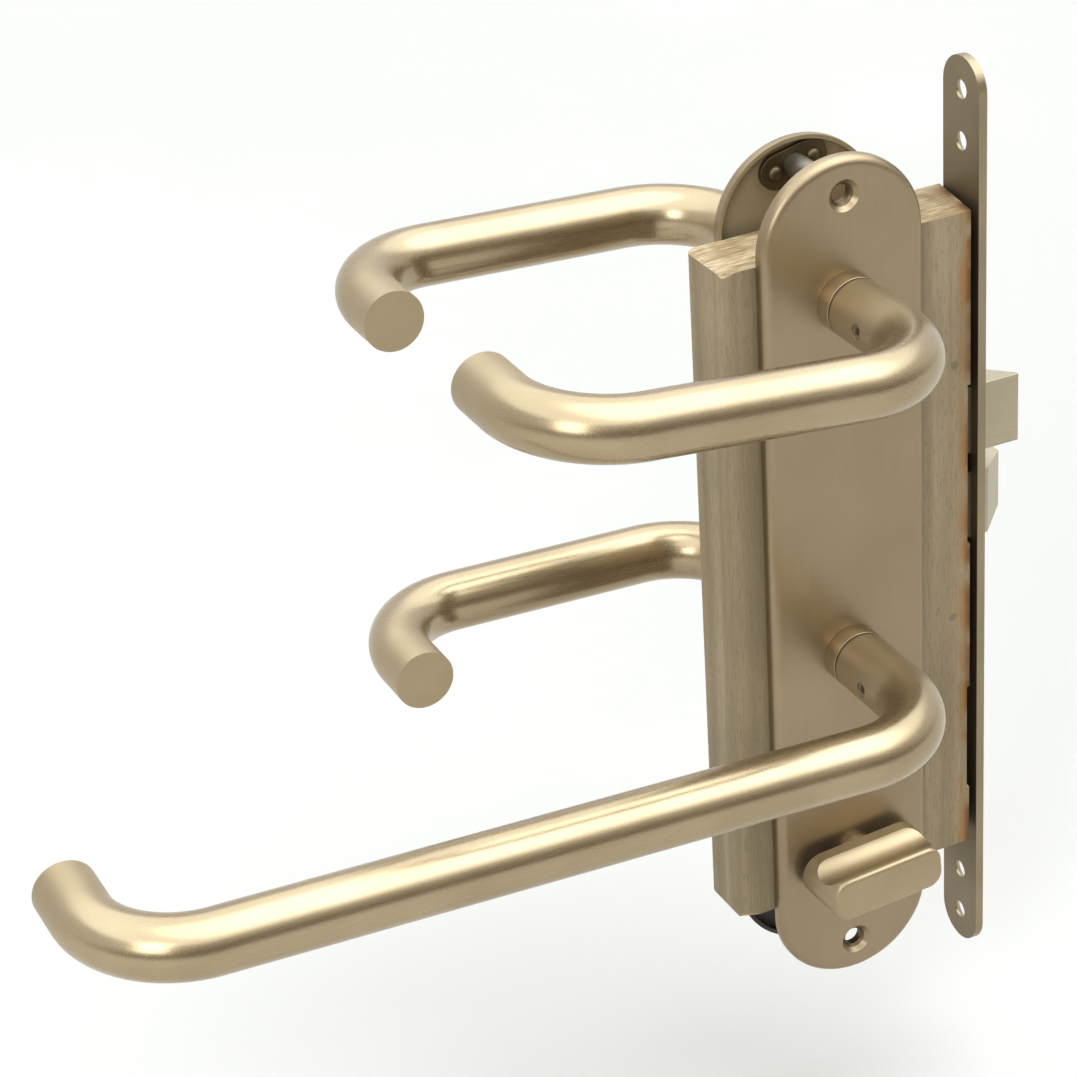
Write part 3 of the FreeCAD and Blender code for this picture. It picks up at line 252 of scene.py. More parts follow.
# Steels
def brushed_stainless(name, tones, axis, rough, contrast=0.22, inside=None, neck=None, back=None):
    """Stainless steel, belt-ground and satin: faint lines along one axis, soft wide highlights."""
    material, tree, shader, place = surface(name)
    fill(tree, shader["Metallic"], WORN_METALLIC)
    # The grinding lines are about 0.05 mm wide; drawn at 0.25 mm so that they show
    lines = streaks(tree, place, across=0.25 * MM, along=30 * MM, axis=axis)
    shade = add(tree, RAMP, [lines], [(0.35, contrast), (0.6, 0.0)])
    # Clouds where it has been wiped more or less
    cloud = add(tree, NOISE, {"Vector": place, "Scale": 1 / (35 * MM), "Detail": 3.0})
    tone = add(tree, RAMP, [cloud], [(0.35, tones[0]), (0.65, tones[1])])
    tone = add(tree, MIX, {FACTOR: shade, UNDER: tone, OVER: tones[2]}, data_type="RGBA")
    gloss = add(tree, RAMP, [lines], [(0.3, rough - 0.03), (0.7, rough + 0.04)])
    if inside:
        tone, gloss, metallic = dull_inside_with_shade(tree, place, tone, gloss, inside)
        fill(tree, shader["Metallic"], metallic)
    if neck:
        tone, gloss = ground_neck(tree, place, tone, gloss, neck)
    if back:
        tone, gloss = brown_back_with_gap_shade(tree, place, tone, gloss, back)
    fill(tree, shader["Base Color"], tone)
    fill(tree, shader["Roughness"], gloss)
    bump = add(tree, BUMP, {"Height": lines, "Strength": 0.05, "Distance": 0.02 * MM})
    fill(tree, shader["Normal"], bump)
    return material


def dull_inside_with_shade(tree, place, tone, gloss, colour):
    """The hollow side of a cover plate is dull, and its lower end is darkened with painted shade."""
    hollow = hollow_side(tree, place)
    height = add(tree, PARTS, [place]).outputs["Z"]
    lower = add(tree, RANGE, [height, INSIDE_SHADE_FROM, INSIDE_SHADE_TO])
    # Painted shade: the hollow's lower end darkens towards a dark brown
    inside_shade = add(tree, MIX, {FACTOR: lower, UNDER: colour, OVER: "#3A3126"}, data_type="RGBA")
    tone = add(tree, MIX, {FACTOR: hollow, UNDER: tone, OVER: inside_shade}, data_type="RGBA")
    gloss = add(tree, MATH, [hollow, 0.25, gloss], operation="MULTIPLY_ADD")
    metallic = add(tree, MATH, [hollow, -0.6, WORN_METALLIC], operation="MULTIPLY_ADD")
    return tone, gloss, metallic


def hollow_side(tree, place):
    """1 on the side of a cover plate that faces in, else 0."""
    spot = add(tree, PARTS, [place]).outputs
    normal = add(tree, PARTS, [add(tree, "ShaderNodeNewGeometry").outputs["Normal"]]).outputs
    side = add(tree, MATH, [spot["Y"]], operation="SIGN")
    outward = add(tree, MATH, [normal["Y"], side], operation="MULTIPLY")
    behind = add(tree, MATH, [outward, -0.5], operation="LESS_THAN")
    # The rim's inner side faces the middle line of the plate
    out_x = add(tree, MATH, [spot["X"], SPINDLE_X], operation="SUBTRACT")
    capped = add(tree, "ShaderNodeClamp", [spot["Z"], -PLATE_STRAIGHT, PLATE_STRAIGHT])
    out_z = add(tree, MATH, [spot["Z"], capped], operation="SUBTRACT")
    away = add(tree, MATH, [normal["X"], out_x], operation="MULTIPLY")
    away = add(tree, MATH, [normal["Z"], out_z, away], operation="MULTIPLY_ADD")
    inward = add(tree, MATH, [away, -20 * MM], operation="LESS_THAN")
    return add(tree, MATH, [inward, behind], operation="MAXIMUM")


def ground_neck(tree, place, tone, gloss, duller):
    """Necks are ground by hand and duller, with a dark line of painted shade in the gap where they meet
    the collars.
    """
    spot = add(tree, PARTS, [place]).outputs
    depth = add(tree, MATH, [spot["Y"]], operation="ABSOLUTE")
    near = add(tree, RANGE, [depth, NECK_BRIGHT, NECK_DULL])
    gloss = add(tree, MATH, [near, duller, gloss], operation="MULTIPLY_ADD")
    # Painted shade: a dark line where the neck meets its collar
    seam = add(tree, RANGE, [depth, SEAM + SEAM_UNSHADED, SEAM + SEAM_SHADED])
    on_lever = add(tree, MATH, [spot["Z"], LOWER_Z - TUBE], operation="GREATER_THAN")
    dirt_and_shade = add(tree, MATH, [seam, on_lever], operation="MULTIPLY")
    dirt_and_shade = add(tree, MATH, [dirt_and_shade, 0.8], operation="MULTIPLY")
    tone = add(tree, MIX, {FACTOR: dirt_and_shade, UNDER: tone, OVER: "#43372A"}, data_type="RGBA")
    return tone, gloss


def brown_back_with_gap_shade(tree, place, tone, gloss, colour):
    """The face towards the wood is brown and dull, and darker along the wood with painted shade of the
    gap there.
    """
    normal = add(tree, PARTS, [add(tree, "ShaderNodeNewGeometry").outputs["Normal"]]).outputs["X"]
    behind = add(tree, MATH, [normal, -0.7], operation="LESS_THAN")
    height = add(tree, PARTS, [place]).outputs["Z"]
    height = add(tree, MATH, [height], operation="ABSOLUTE")
    # Painted shade: darkest along the wood, where the narrow gap between wood and forend is
    beside = add(tree, RANGE, [height, BACK_PALE, BACK_DARK, 0.35, 0.9])
    dull_and_shaded = add(tree, MATH, [behind, beside], operation="MULTIPLY")
    tone = add(tree, MIX, {FACTOR: dull_and_shaded, UNDER: tone, OVER: colour}, data_type="RGBA")
    gloss = add(tree, MATH, [dull_and_shaded, 0.2, gloss], operation="MULTIPLY_ADD")
    return tone, gloss


def zinc_plate(name, tone, rough):
    """Zinc-plated pressed steel: grey with a faint cloudy bloom."""
    material, tree, shader, place = surface(name)
    cloud = add(tree, NOISE, {"Vector": place, "Scale": 1 / (6 * MM), "Detail": 4.0})
    bloom = add(tree, RAMP, [cloud], [(0.35, 0.5), (0.65, 0.0)])
    tone = add(tree, MIX, {FACTOR: bloom, UNDER: tone, OVER: "#6E675A"}, data_type="RGBA")
    fill(tree, shader["Base Color"], tone)
    fill(tree, shader["Roughness"], add(tree, RAMP, [cloud], [(0.3, rough), (0.7, rough + 0.12)]))
    fill(tree, shader["Metallic"], 0.9)
    return material


def grained_metal(name, tone, rough, metallic, grit):
    """Dull metal with a grain of the given size, such as sintered iron or blackened steel."""
    material, tree, shader, place = surface(name)
    grain = add(tree, NOISE, {"Vector": place, "Scale": 1 / grit, "Detail": 4.0})
    pits = add(tree, RAMP, [grain], [(0.4, 0.4), (0.6, 0.0)])
    tone = add(tree, MIX, {FACTOR: pits, UNDER: tone, OVER: "#1D1A15"}, data_type="RGBA")
    fill(tree, shader["Base Color"], tone)
    fill(tree, shader["Roughness"], rough)
    fill(tree, shader["Metallic"], metallic)
    bump = add(tree, BUMP, {"Height": grain, "Strength": 0.3, "Distance": 0.05 * MM})
    fill(tree, shader["Normal"], bump)
    return material


# Beech
def sawn_beech(name):
    """Beech, planed on its faces and sawn across its ends: short dark flecks upright, cream end grain,
    brown stain and scorch along the lock edge."""
    material, tree, shader, place = surface(name)
    # Fibres of 0.5 mm along the grain, and the saw's marks of 0.6 mm across its ends
    fibres = streaks(tree, place, across=0.5 * MM, along=10 * MM, axis="Z", detail=4.0)
    marks = streaks(tree, place, across=0.6 * MM, along=7 * MM, axis="X", detail=4.0)
    normal = add(tree, "ShaderNodeNewGeometry").outputs["Normal"]
    upright = add(tree, MATH, [add(tree, PARTS, [normal]).outputs["Z"]], operation="ABSOLUTE")
    at_end = add(tree, RAMP, [upright], [(0.5, 0.0), (0.8, 1.0)])
    side = planed_side(tree, place, fibres)
    end = sawn_end(tree, place, marks)
    tone = add(tree, MIX, {FACTOR: at_end, UNDER: side, OVER: end}, data_type="RGBA")
    fill(tree, shader["Base Color"], stained_edge(tree, place, tone))
    fill(tree, shader["Roughness"], 0.68)
    relief = add(tree, MIX, {FACTOR: at_end, UNDER: fibres, OVER: marks}, data_type="RGBA")
    bump = add(tree, BUMP, {"Height": relief, "Strength": 0.35, "Distance": 0.2 * MM})
    fill(tree, shader["Normal"], bump)
    return material


def planed_side(tree, place, fibres):
    """Bands of early and late wood of about 6 mm, fibres, and dark flecks of 0.5 by 4 mm."""
    bands = streaks(tree, place, across=6 * MM, along=200 * MM, axis="Z", detail=2.0)
    flecks = streaks(tree, place, across=0.55 * MM, along=4 * MM, axis="Z", detail=1.0)
    side = add(tree, RAMP, [bands], [(0.35, "#A69475"), (0.5, "#9A8868"), (0.66, "#8D7C5D")])
    for grain, dark, light, strength, tone in ((fibres, 0.36, 0.56, 0.35, "#7A6A50"),
                                               (flecks, 0.32, 0.42, 0.32, "#64553C")):
        shade = add(tree, RAMP, [grain], [(dark, strength), (light, 0.0)])
        side = add(tree, MIX, {FACTOR: shade, UNDER: side, OVER: tone}, data_type="RGBA")
    # Grime along the plates' far edge, together with painted contact shade next to the plate
    across = add(tree, PARTS, [place]).outputs["X"]
    grime_and_shade = add(tree, RANGE, [across, -95 * MM, -85 * MM, 0.0, 0.5])
    far_half = add(tree, MATH, [across, SPINDLE_X], operation="LESS_THAN")
    grime_and_shade = add(tree, MATH, [grime_and_shade, far_half], operation="MULTIPLY")
    side = add(tree, MIX, {FACTOR: grime_and_shade, UNDER: side, OVER: "#6B5D44"}, data_type="RGBA")
    for x, z in WOOD_MARKS:
        mark = add(tree, MATH, [round_mark(tree, place, x * MM, z * MM), 0.45], operation="MULTIPLY")
        side = add(tree, MIX, {FACTOR: mark, UNDER: side, OVER: "#5E523C"}, data_type="RGBA")
    return side


def round_mark(tree, place, x, z):
    """A soft round spot on the front or rear face: 1 in its middle, 0 outside."""
    flat = add(tree, "ShaderNodeVectorMath", [place, (1, 0, 1)], operation="MULTIPLY")
    away = add(tree, "ShaderNodeVectorMath", [flat, (x, 0, z)], operation="DISTANCE")
    return add(tree, RANGE, [away, MARK_RADIUS, 0.75 * MARK_RADIUS])


def sawn_end(tree, place, marks):
    """Pale, with the saw's marks lengthwise and brown dirt in patches."""
    end = add(tree, RAMP, [marks], [(0.33, "#A08355"), (0.5, "#DFC394"), (0.66, "#F5E6C2")])
    patches = add(tree, NOISE, {"Vector": place, "Scale": 1 / (9 * MM), "Detail": 4.0})
    dirt_and_shade = add(tree, RAMP, [patches], [(0.42, 0.0), (0.63, 0.6)])
    return add(tree, MIX, {FACTOR: dirt_and_shade, UNDER: end, OVER: "#9A7849"}, data_type="RGBA")


def stained_edge(tree, place, tone):
    """The last millimetres before the forend are stained, and nearly black at the very edge."""
    spot = add(tree, PARTS, [place]).outputs
    edge = add(tree, MATH, [spot["Y"], -EDGE_SKEW, spot["X"]], operation="MULTIPLY_ADD")
    cloud = streaks(tree, place, across=14 * MM, along=18 * MM, axis="Z", detail=2.0)
    patch = add(tree, RAMP, [cloud], [(0.42, 0.0), (0.58, 1.0)])
    for start, finish, stain in ((-12.5, -8.4, "#98682A"), (-9.2, -6.6, "#3B2A18")):
        near = add(tree, RANGE, [edge, (start + EDGE_SHIFT) * MM, (finish + EDGE_SHIFT) * MM])
        amount = add(tree, MATH, [near, patch], operation="MULTIPLY")
        tone = add(tree, MIX, {FACTOR: amount, UNDER: tone, OVER: stain}, data_type="RGBA")
    return tone


# The materials. A steel's tones are two for its clouds and a darker one for the grinding lines
STEEL_TONES = ("#A18F71", "#AB997B", "#8A795E")
satin_plate = brushed_stainless("satin_stainless_plate", ("#948267", "#9C8A6E", "#83725A"), "Z",
                                rough=0.36, inside="#A08E6E")
satin_along = brushed_stainless("satin_stainless_along", STEEL_TONES, "X", rough=0.25, contrast=0.12,
                                neck=0.16)
satin_round = brushed_stainless("satin_stainless_round", STEEL_TONES, "Y", rough=0.32)
bolt_steel = brushed_stainless("ground_bolt_steel", ("#A99D85", "#B3A78F", "#8E826B"), "X", rough=0.3)
forend_steel = brushed_stainless("satin_stainless_forend", ("#8F8167", "#9C8D72", "#6E6049"), "Z",
                                 rough=0.38, back="#5E5039")
tarnished = brushed_stainless("tarnished_stainless", ("#5E503A", "#6B5C44", "#463A28"), "X", rough=0.42)
beech = sawn_beech("sawn_beech")
zinc = zinc_plate("zinc_plated_steel", "#8F887A", rough=0.36)
sintered = grained_metal("sintered_iron", "#5F5A52", rough=0.62, metallic=0.8, grit=0.5 * MM)
dull_screw = grained_metal("dull_screw_steel", "#8C7D63", rough=0.6, metallic=0.6, grit=0.3 * MM)
spring_wire = brushed_stainless("drawn_spring_wire", ("#8D877B", "#99927F", "#6B6455"), "Z", rough=0.3)


# Pieces
def piece(name, mesh, material, body, node):
    """A finished mesh as a piece that rides on a body and stands for a CAD node."""
    item = bpy.data.objects.new(name, mesh)
    bpy.context.scene.collection.objects.link(item)
    mesh.materials.clear()
    mesh.materials.append(material)
    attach(item, body)
    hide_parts(node)
    return item


def smooth(item, degrees=32):
    """Smooth shading but for edges sharper than this."""
    bm = bmesh.new()
    bm.from_mesh(item.data)
    for face in bm.faces:
        face.smooth = True
    for edge in bm.edges:
        edge.smooth = edge.calc_face_angle(math.pi) < math.radians(degrees)
    bm.to_mesh(item.data)
    bm.free()


def eased(item, width, degrees=40):
    """Sharp edges broken by a narrow round."""
    bevel = item.modifiers.new("Eased edges", "BEVEL")
    bevel.width = width
    bevel.segments = 2
    bevel.limit_method = "ANGLE"
    bevel.angle_limit = math.radians(degrees)
    bevel.use_clamp_overlap = True
    bevel.harden_normals = True


def welded(node, flat=0.3):
    """A copy of a CAD node's mesh with its loose triangles joined. Faces that lie flat to within some
    degrees become one, unless that is 0."""
    mesh = nodes[node].data.copy()
    bm = bmesh.new()
    bm.from_mesh(mesh)
    bmesh.ops.remove_doubles(bm, verts=bm.verts, dist=0.002 * MM)
    if flat:
        bmesh.ops.dissolve_limit(bm, angle_limit=math.radians(flat), verts=bm.verts, edges=bm.edges)
    bm.to_mesh(mesh)
    bm.free()
    return mesh


def dressed(name, node, material, edge, degrees=40, flat=0.3):
    """The CAD node's own form with eased edges and smooth shading."""
    item = piece(name, welded(node, flat), material, nodes[node]["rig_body"], node)
    smooth(item)
    eased(item, edge, degrees)


# Pieces grown from Geometry Nodes
def geometry_tree(name, sizes):
    """An empty Geometry Nodes tree with named size inputs and a material input."""
    tree = bpy.data.node_groups.new(name, "GeometryNodeTree")
    tree.interface.new_socket("Geometry", in_out="OUTPUT", socket_type="NodeSocketGeometry")
    for word, value in sizes.items():
        kind = "NodeSocketVector" if isinstance(value, (tuple, list)) else "NodeSocketFloat"
        socket = tree.interface.new_socket(word, in_out="INPUT", socket_type=kind)
        socket.default_value = value
    tree.interface.new_socket("Material", in_out="INPUT", socket_type="NodeSocketMaterial")
    given = add(tree, "NodeGroupInput")
    return tree, given.outputs


def closed_tree(tree, geometry, given):
    """End a tree: real geometry with its material."""
    real = add(tree, "GeometryNodeRealizeInstances", {"Geometry": geometry})
    painted = add(tree, "GeometryNodeSetMaterial", {"Geometry": real, "Material": given["Material"]})
    add(tree, "NodeGroupOutput", {"Geometry": painted})
    return tree


def grown(tree, sizes, material):
    """Run a tree with these sizes and return the plain mesh."""
    carrier = bpy.data.objects.new("carrier", bpy.data.meshes.new("carrier"))
    bpy.context.scene.collection.objects.link(carrier)
    modifier = carrier.modifiers.new("Tree", "NODES")
    modifier.node_group = tree
    for socket in tree.interface.items_tree:
        if socket.in_out == "INPUT" and socket.name in sizes:
            modifier[socket.identifier] = sizes[socket.name]
        if socket.in_out == "INPUT" and socket.name == "Material":
            modifier[socket.identifier] = material
    bpy.context.view_layer.update()
    seen = carrier.evaluated_get(bpy.context.evaluated_depsgraph_get())
    mesh = bpy.data.meshes.new_from_object(seen)
    carrier.modifiers.clear()
    bpy.data.objects.remove(carrier)
    return mesh


def lever_tree():
    """A bar bent twice: neck, grip and return leg, with the set screw's hole in the neck."""
    tree, given = geometry_tree("Bent lever", {
        "Tube diameter": TUBE, "Bend radius": BEND, "Neck start": -SEAM, "Crest": -CREST,
        "Reach": SHORT_REACH, "Leg end": -CREST + RETURN, "Hole place": -GRUB_PLACE,
        "Hole diameter": GRUB_HOLE, "Hole depth": GRUB_HOLE_DEPTH, "Tilt": 0.0, "Level": 0.0})
    far = add(tree, MATH, [given["Reach"], -1.0], operation="MULTIPLY")
    corners = [add(tree, VECTOR, corner) for corner in (
        (0.0, given["Neck start"], 0.0), (0.0, given["Crest"], 0.0),
        (far, given["Crest"], 0.0), (far, given["Leg end"], 0.0))]
    runs = []
    for start, end in zip(corners, corners[1:]):
        run = add(tree, "GeometryNodeCurvePrimitiveLine", {"Start": start, "End": end})
        runs.append(add(tree, SWEEP, {"Curve": run}))
    joined = add(tree, GATHER, {"Geometry": runs})
    whole = add(tree, "GeometryNodeMergeByDistance", {"Geometry": joined, "Distance": 0.01 * MM})
    line = add(tree, "GeometryNodeMeshToCurve", {"Mesh": whole})
    bent = add(tree, "GeometryNodeFilletCurve",
               {"Curve": line, "Radius": given["Bend radius"], "Count": 26}, mode="POLY")
    radius = add(tree, MATH, [given["Tube diameter"], 0.5], operation="MULTIPLY")
    ring = add(tree, "GeometryNodeCurvePrimitiveCircle", {"Resolution": 56, "Radius": radius})
    bar = add(tree, SWEEP, {"Curve": bent, "Profile Curve": ring, "Fill Caps": True})
    # The drill is as long as it is wide and goes in from the side
    hole_radius = add(tree, MATH, [given["Hole diameter"], 0.5], operation="MULTIPLY")
    drill = add(tree, "GeometryNodeMeshCylinder",
                {"Vertices": 28, "Radius": hole_radius, "Depth": given["Hole diameter"]})
    reach = add(tree, MATH, [given["Hole depth"], hole_radius], operation="SUBTRACT")
    reach = add(tree, MATH, [reach, radius], operation="SUBTRACT")
    seat = add(tree, MOVE, {"Geometry": drill, "Rotation": (0, math.pi / 2, 0),
                            "Translation": add(tree, VECTOR, [reach, given["Hole place"], 0.0])})
    cut = add(tree, "GeometryNodeMeshBoolean", [bar, seat], operation="DIFFERENCE", solver="EXACT")
    turned = add(tree, MOVE, {"Geometry": cut, "Rotation": add(tree, VECTOR, [0.0, given["Tilt"], 0.0]),
                              "Translation": add(tree, VECTOR, [SPINDLE_X, 0.0, given["Level"]])})
    return closed_tree(tree, turned, given)


def levers():
    """Four grips; the lower front one is long."""
    tree = lever_tree()
    # Name, CAD node, body, side, reach, tilt and level
    for name, node, body, side, reach, tilt, level in (
            ("upper_front_grip", "upper_front_lever", "upper_lever", -1, SHORT_REACH,
             UPPER_TILT + UPPER_TWIST, UPPER_Z),
            ("upper_rear_grip", "upper_rear_lever", "upper_lever", 1, SHORT_REACH,
             UPPER_TILT - UPPER_TWIST, UPPER_Z),
            ("lower_front_grip", "lower_front_lever", "lower_lever", -1, LONG_REACH,
             LOWER_TILT + LOWER_TWIST, LOWER_Z),
            ("lower_rear_grip", "lower_rear_lever", "lower_lever", 1, SHORT_REACH,
             LOWER_TILT - LOWER_TWIST, LOWER_Z)):
        mesh = grown(tree, {"Neck start": side * SEAM, "Crest": side * CREST, "Reach": reach,
                            "Leg end": side * (CREST - RETURN), "Hole place": side * GRUB_PLACE,
                            "Tilt": tilt, "Level": level}, satin_along)
        item = piece(name, mesh, satin_along, body, node)
        smooth(item)
        eased(item, 0.2 * MM, degrees=50)


def collar_tree():
    """Rings turned from bar, one at each point."""
    tree, given = geometry_tree("Lever collars", {
        "Outer diameter": TUBE, "Bore": COLLAR_BORE, "Length": COLLAR, "Round": 0.2 * MM,
        "Spindle x": SPINDLE_X, "Plate face": PLATE_FACE, "Upper level": UPPER_Z, "Lower level": LOWER_Z})
    wall = add(tree, MATH, [given["Outer diameter"], given["Bore"]], operation="SUBTRACT")
    wall = add(tree, MATH, [wall, 0.5], operation="MULTIPLY")
    middle = add(tree, MATH, [given["Outer diameter"], given["Bore"]], operation="ADD")
    middle = add(tree, MATH, [middle, 0.25], operation="MULTIPLY")
    profile = add(tree, "GeometryNodeCurvePrimitiveQuadrilateral",
                  {"Width": wall, "Height": given["Length"]})
    rounded = add(tree, "GeometryNodeFilletCurve",
                  {"Curve": profile, "Radius": given["Round"], "Count": 4}, mode="POLY")
    ring = add(tree, "GeometryNodeCurvePrimitiveCircle", {"Resolution": 72, "Radius": middle})
    body = add(tree, SWEEP, {"Curve": ring, "Profile Curve": rounded})
    lying = add(tree, MOVE, {"Geometry": body, "Rotation": (math.pi / 2, 0, 0)})
    out = add(tree, MATH, [given["Length"], 0.5, given["Plate face"]], operation="MULTIPLY_ADD")
    spots = []
    for level in ("Upper level", "Lower level"):
        for side in (-1.0, 1.0):
            y = add(tree, MATH, [out, side], operation="MULTIPLY")
            spot = add(tree, VECTOR, [given["Spindle x"], y, given[level]])
            spots.append(add(tree, "GeometryNodePoints", {"Count": 1, "Position": spot}))
    places = add(tree, GATHER, {"Geometry": spots})
    rings = add(tree, "GeometryNodeInstanceOnPoints", {"Points": places, "Instance": lying})
    return closed_tree(tree, rings, given)


def collars():
    """The four collars, between the cover plates and the levers' necks."""
    mesh = grown(collar_tree(), {}, satin_round)
    item = piece("neck_collars", mesh, satin_round, "base", "lever_collars")
    smooth(item)


def dome_tree():
    """Low rivet domes at four places on the rear plate's pads."""
    tree, given = geometry_tree("Pad rivets", {
        "Diameter": 5 * MM, "Height": 1.6 * MM, "Spread": 7 * MM, "Upper level": UPPER_SCREW_Z,
        "Lower level": LOWER_SCREW_Z, "Upper turn": math.radians(13), "Lower turn": 0.0,
        "Spindle x": SPINDLE_X, "Face": PAD_FACE})
    # Upper half of a ball of radius 1, closed by a disc
    ball = add(tree, "GeometryNodeMeshUVSphere", {"Segments": 32, "Rings": 16, "Radius": 1.0})
    height = add(tree, PARTS, [add(tree, "GeometryNodeInputPosition")]).outputs["Z"]
    under = add(tree, "FunctionNodeCompare", [height, -0.01], data_type="FLOAT", operation="LESS_THAN")
    half = add(tree, "GeometryNodeDeleteGeometry", {"Geometry": ball, "Selection": under}, domain="POINT")
    disc = add(tree, "GeometryNodeMeshCircle", {"Vertices": 32, "Radius": 1.0}, fill_type="NGON")
    underside = add(tree, "GeometryNodeFlipFaces", {"Mesh": disc})
    shell = add(tree, GATHER, {"Geometry": [half, underside]})
    whole = add(tree, "GeometryNodeMergeByDistance", {"Geometry": shell, "Distance": 0.01})
    radius = add(tree, MATH, [given["Diameter"], 0.5], operation="MULTIPLY")
    scale = add(tree, VECTOR, [radius, radius, given["Height"]])
    sized = add(tree, MOVE, {"Geometry": whole, "Scale": scale})
    facing = add(tree, MOVE, {"Geometry": sized, "Rotation": (math.pi / 2, 0, 0)})
    spots = []
    for row in ("Upper", "Lower"):
        along_x = add(tree, MATH, [given[row + " turn"]], operation="COSINE")
        along_z = add(tree, MATH, [given[row + " turn"]], operation="SINE")
        for side in (-1.0, 1.0):
            away = add(tree, MATH, [given["Spread"], side], operation="MULTIPLY")
            x = add(tree, MATH, [away, along_x, given["Spindle x"]], operation="MULTIPLY_ADD")
            z = add(tree, MATH, [away, along_z, given[row + " level"]], operation="MULTIPLY_ADD")
            spot = add(tree, VECTOR, [x, given["Face"], z])
            spots.append(add(tree, "GeometryNodePoints", {"Count": 1, "Position": spot}))
    places = add(tree, GATHER, {"Geometry": spots})
    rivets = add(tree, "GeometryNodeInstanceOnPoints", {"Points": places, "Instance": facing})
    return closed_tree(tree, rivets, given)


def pad_rivets():
    """The heads of the rivets in the rear plate's pads."""
    mesh = grown(dome_tree(), {}, tarnished)
    item = piece("pad_rivet_domes", mesh, tarnished, "base", "pad_pins")
    smooth(item, degrees=60)


def coil_tree():
    """A wire wound into a straight coil along +Z, with its ends closed."""
    tree, given = geometry_tree("Wound coil", {
        "Outside diameter": 9.4 * MM, "Wire": 1.0 * MM, "Length": 24.4 * MM, "Turns": 9.0,
        "Place": (0.0, 0.0, 0.0), "Turn": (0.0, 0.0, 0.0)})
    half_wire = add(tree, MATH, [given["Wire"], 0.5], operation="MULTIPLY")
    radius = add(tree, MATH, [given["Outside diameter"], 0.5], operation="MULTIPLY")
    radius = add(tree, MATH, [radius, half_wire], operation="SUBTRACT")
    rise = add(tree, MATH, [given["Length"], given["Wire"]], operation="SUBTRACT")
    helix = add(tree, "GeometryNodeCurveSpiral",
                {"Resolution": 28, "Rotations": given["Turns"], "Start Radius": radius,
                 "End Radius": radius, "Height": rise})
    ring = add(tree, "GeometryNodeCurvePrimitiveCircle", {"Resolution": 10, "Radius": half_wire})
    wire = add(tree, SWEEP, {"Curve": helix, "Profile Curve": ring, "Fill Caps": True})
    raised = add(tree, MOVE, {"Geometry": wire, "Translation": add(tree, VECTOR, [0.0, 0.0, half_wire])})
    laid = add(tree, MOVE, {"Geometry": raised, "Translation": given["Place"], "Rotation": given["Turn"]})
    return closed_tree(tree, laid, given)


def springs():
    """The latch's spring, and the return springs that lie round the spindles."""
    tree = coil_tree()
    low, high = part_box("latch_spring")
    length = high[0] - low[0]
    middle = ((low[1] + high[1]) / 2, (low[2] + high[2]) / 2)
    mesh = grown(tree, {"Outside diameter": high[2] - low[2], "Length": length, "Turns": 9.0,
                        "Place": (low[0], *middle), "Turn": (0, math.pi / 2, 0)}, spring_wire)
    item = piece("latch_coil", mesh, spring_wire, "base", "latch_spring")
    smooth(item, degrees=60)
    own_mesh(item)
    for name, node in (("upper_return_coil", "upper_return_spring"),
                       ("lower_return_coil", "lower_return_spring")):
        low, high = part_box(node)
        middle = ((low[0] + high[0]) / 2, high[1], (low[2] + high[2]) / 2)
        mesh = grown(tree, {"Outside diameter": high[0] - low[0], "Wire": 1.4 * MM,
                            "Length": high[1] - low[1], "Turns": 3.0, "Place": middle,
                            "Turn": (math.pi / 2, 0, 0)}, spring_wire)
        item = piece(name, mesh, spring_wire, "base", node)
        smooth(item, degrees=60)


# Wooden section
def split_off(bm, corner, facing):
    """Break a corner off along a plane and close the wound."""
    parts = bm.verts[:] + bm.edges[:] + bm.faces[:]
    cut = bmesh.ops.bisect_plane(bm, geom=parts, plane_co=corner, plane_no=facing, clear_outer=True)
    rim = [edge for edge in cut["geom_cut"] if isinstance(edge, bmesh.types.BMEdge)]
    bmesh.ops.edgeloop_fill(bm, edges=rim)


def door_block():
    """The block of door leaf: worn front corner, splinters off at its top and its bottom."""
    mesh = welded("door_section")
    bm = bmesh.new()
    bm.from_mesh(mesh)
    # The rounded front edge has a flatter arris than the rear one
    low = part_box("door_section")[0]
    middle_x = low[0] + ARRIS
    middle_y = low[1] + ARRIS
    for vert in bm.verts:
        out_x = (middle_x - vert.co.x) / ARRIS
        out_y = (middle_y - vert.co.y) / ARRIS
        if out_x > 0.01 and out_y > 0.01:
            vert.co.x = middle_x - ARRIS * out_x ** ARRIS_POWER
            vert.co.y = middle_y - ARRIS * out_y ** ARRIS_POWER
    for corner, facing in SPLINTERS:
        split_off(bm, [MM * part for part in corner], facing)
    bm.to_mesh(mesh)
    bm.free()
    item = piece("beech_section", mesh, beech, "base", "door_section")
    smooth(item)
    eased(item, 0.4 * MM, degrees=45)


# Steel pieces that keep the form of their nodes
def steel_pieces():
    """Edges are eased by less where sheet is cut than where bar is milled."""
    dressed("front_cover", "front_plate", satin_plate, edge=0.15 * MM, degrees=60)
    dressed("rear_cover", "rear_plate", satin_plate, edge=0.15 * MM, degrees=60)
    dressed("forend_strip", "forend", forend_steel, edge=0.3 * MM, degrees=50)
    dressed("latch_head", "latch_bolt", bolt_steel, edge=0.4 * MM)
    dressed("dead_bolt_head", "dead_bolt", bolt_steel, edge=0.4 * MM)
    dressed("turn_knob", "thumb_turn", satin_along, edge=0.4 * MM)
    dressed("release_button", "release_disc", satin_round, edge=0.15 * MM, flat=0)
    dressed("mortise_case", "case_body", zinc, edge=0.2 * MM, degrees=60)
    dressed("rear_pads_eased", "rear_pads", tarnished, edge=0.3 * MM, degrees=60)
    dressed("front_pads_eased", "front_pads", tarnished, edge=0.3 * MM, degrees=60)
    dressed("plate_posts_eased", "plate_posts", zinc, edge=0.3 * MM, degrees=60)


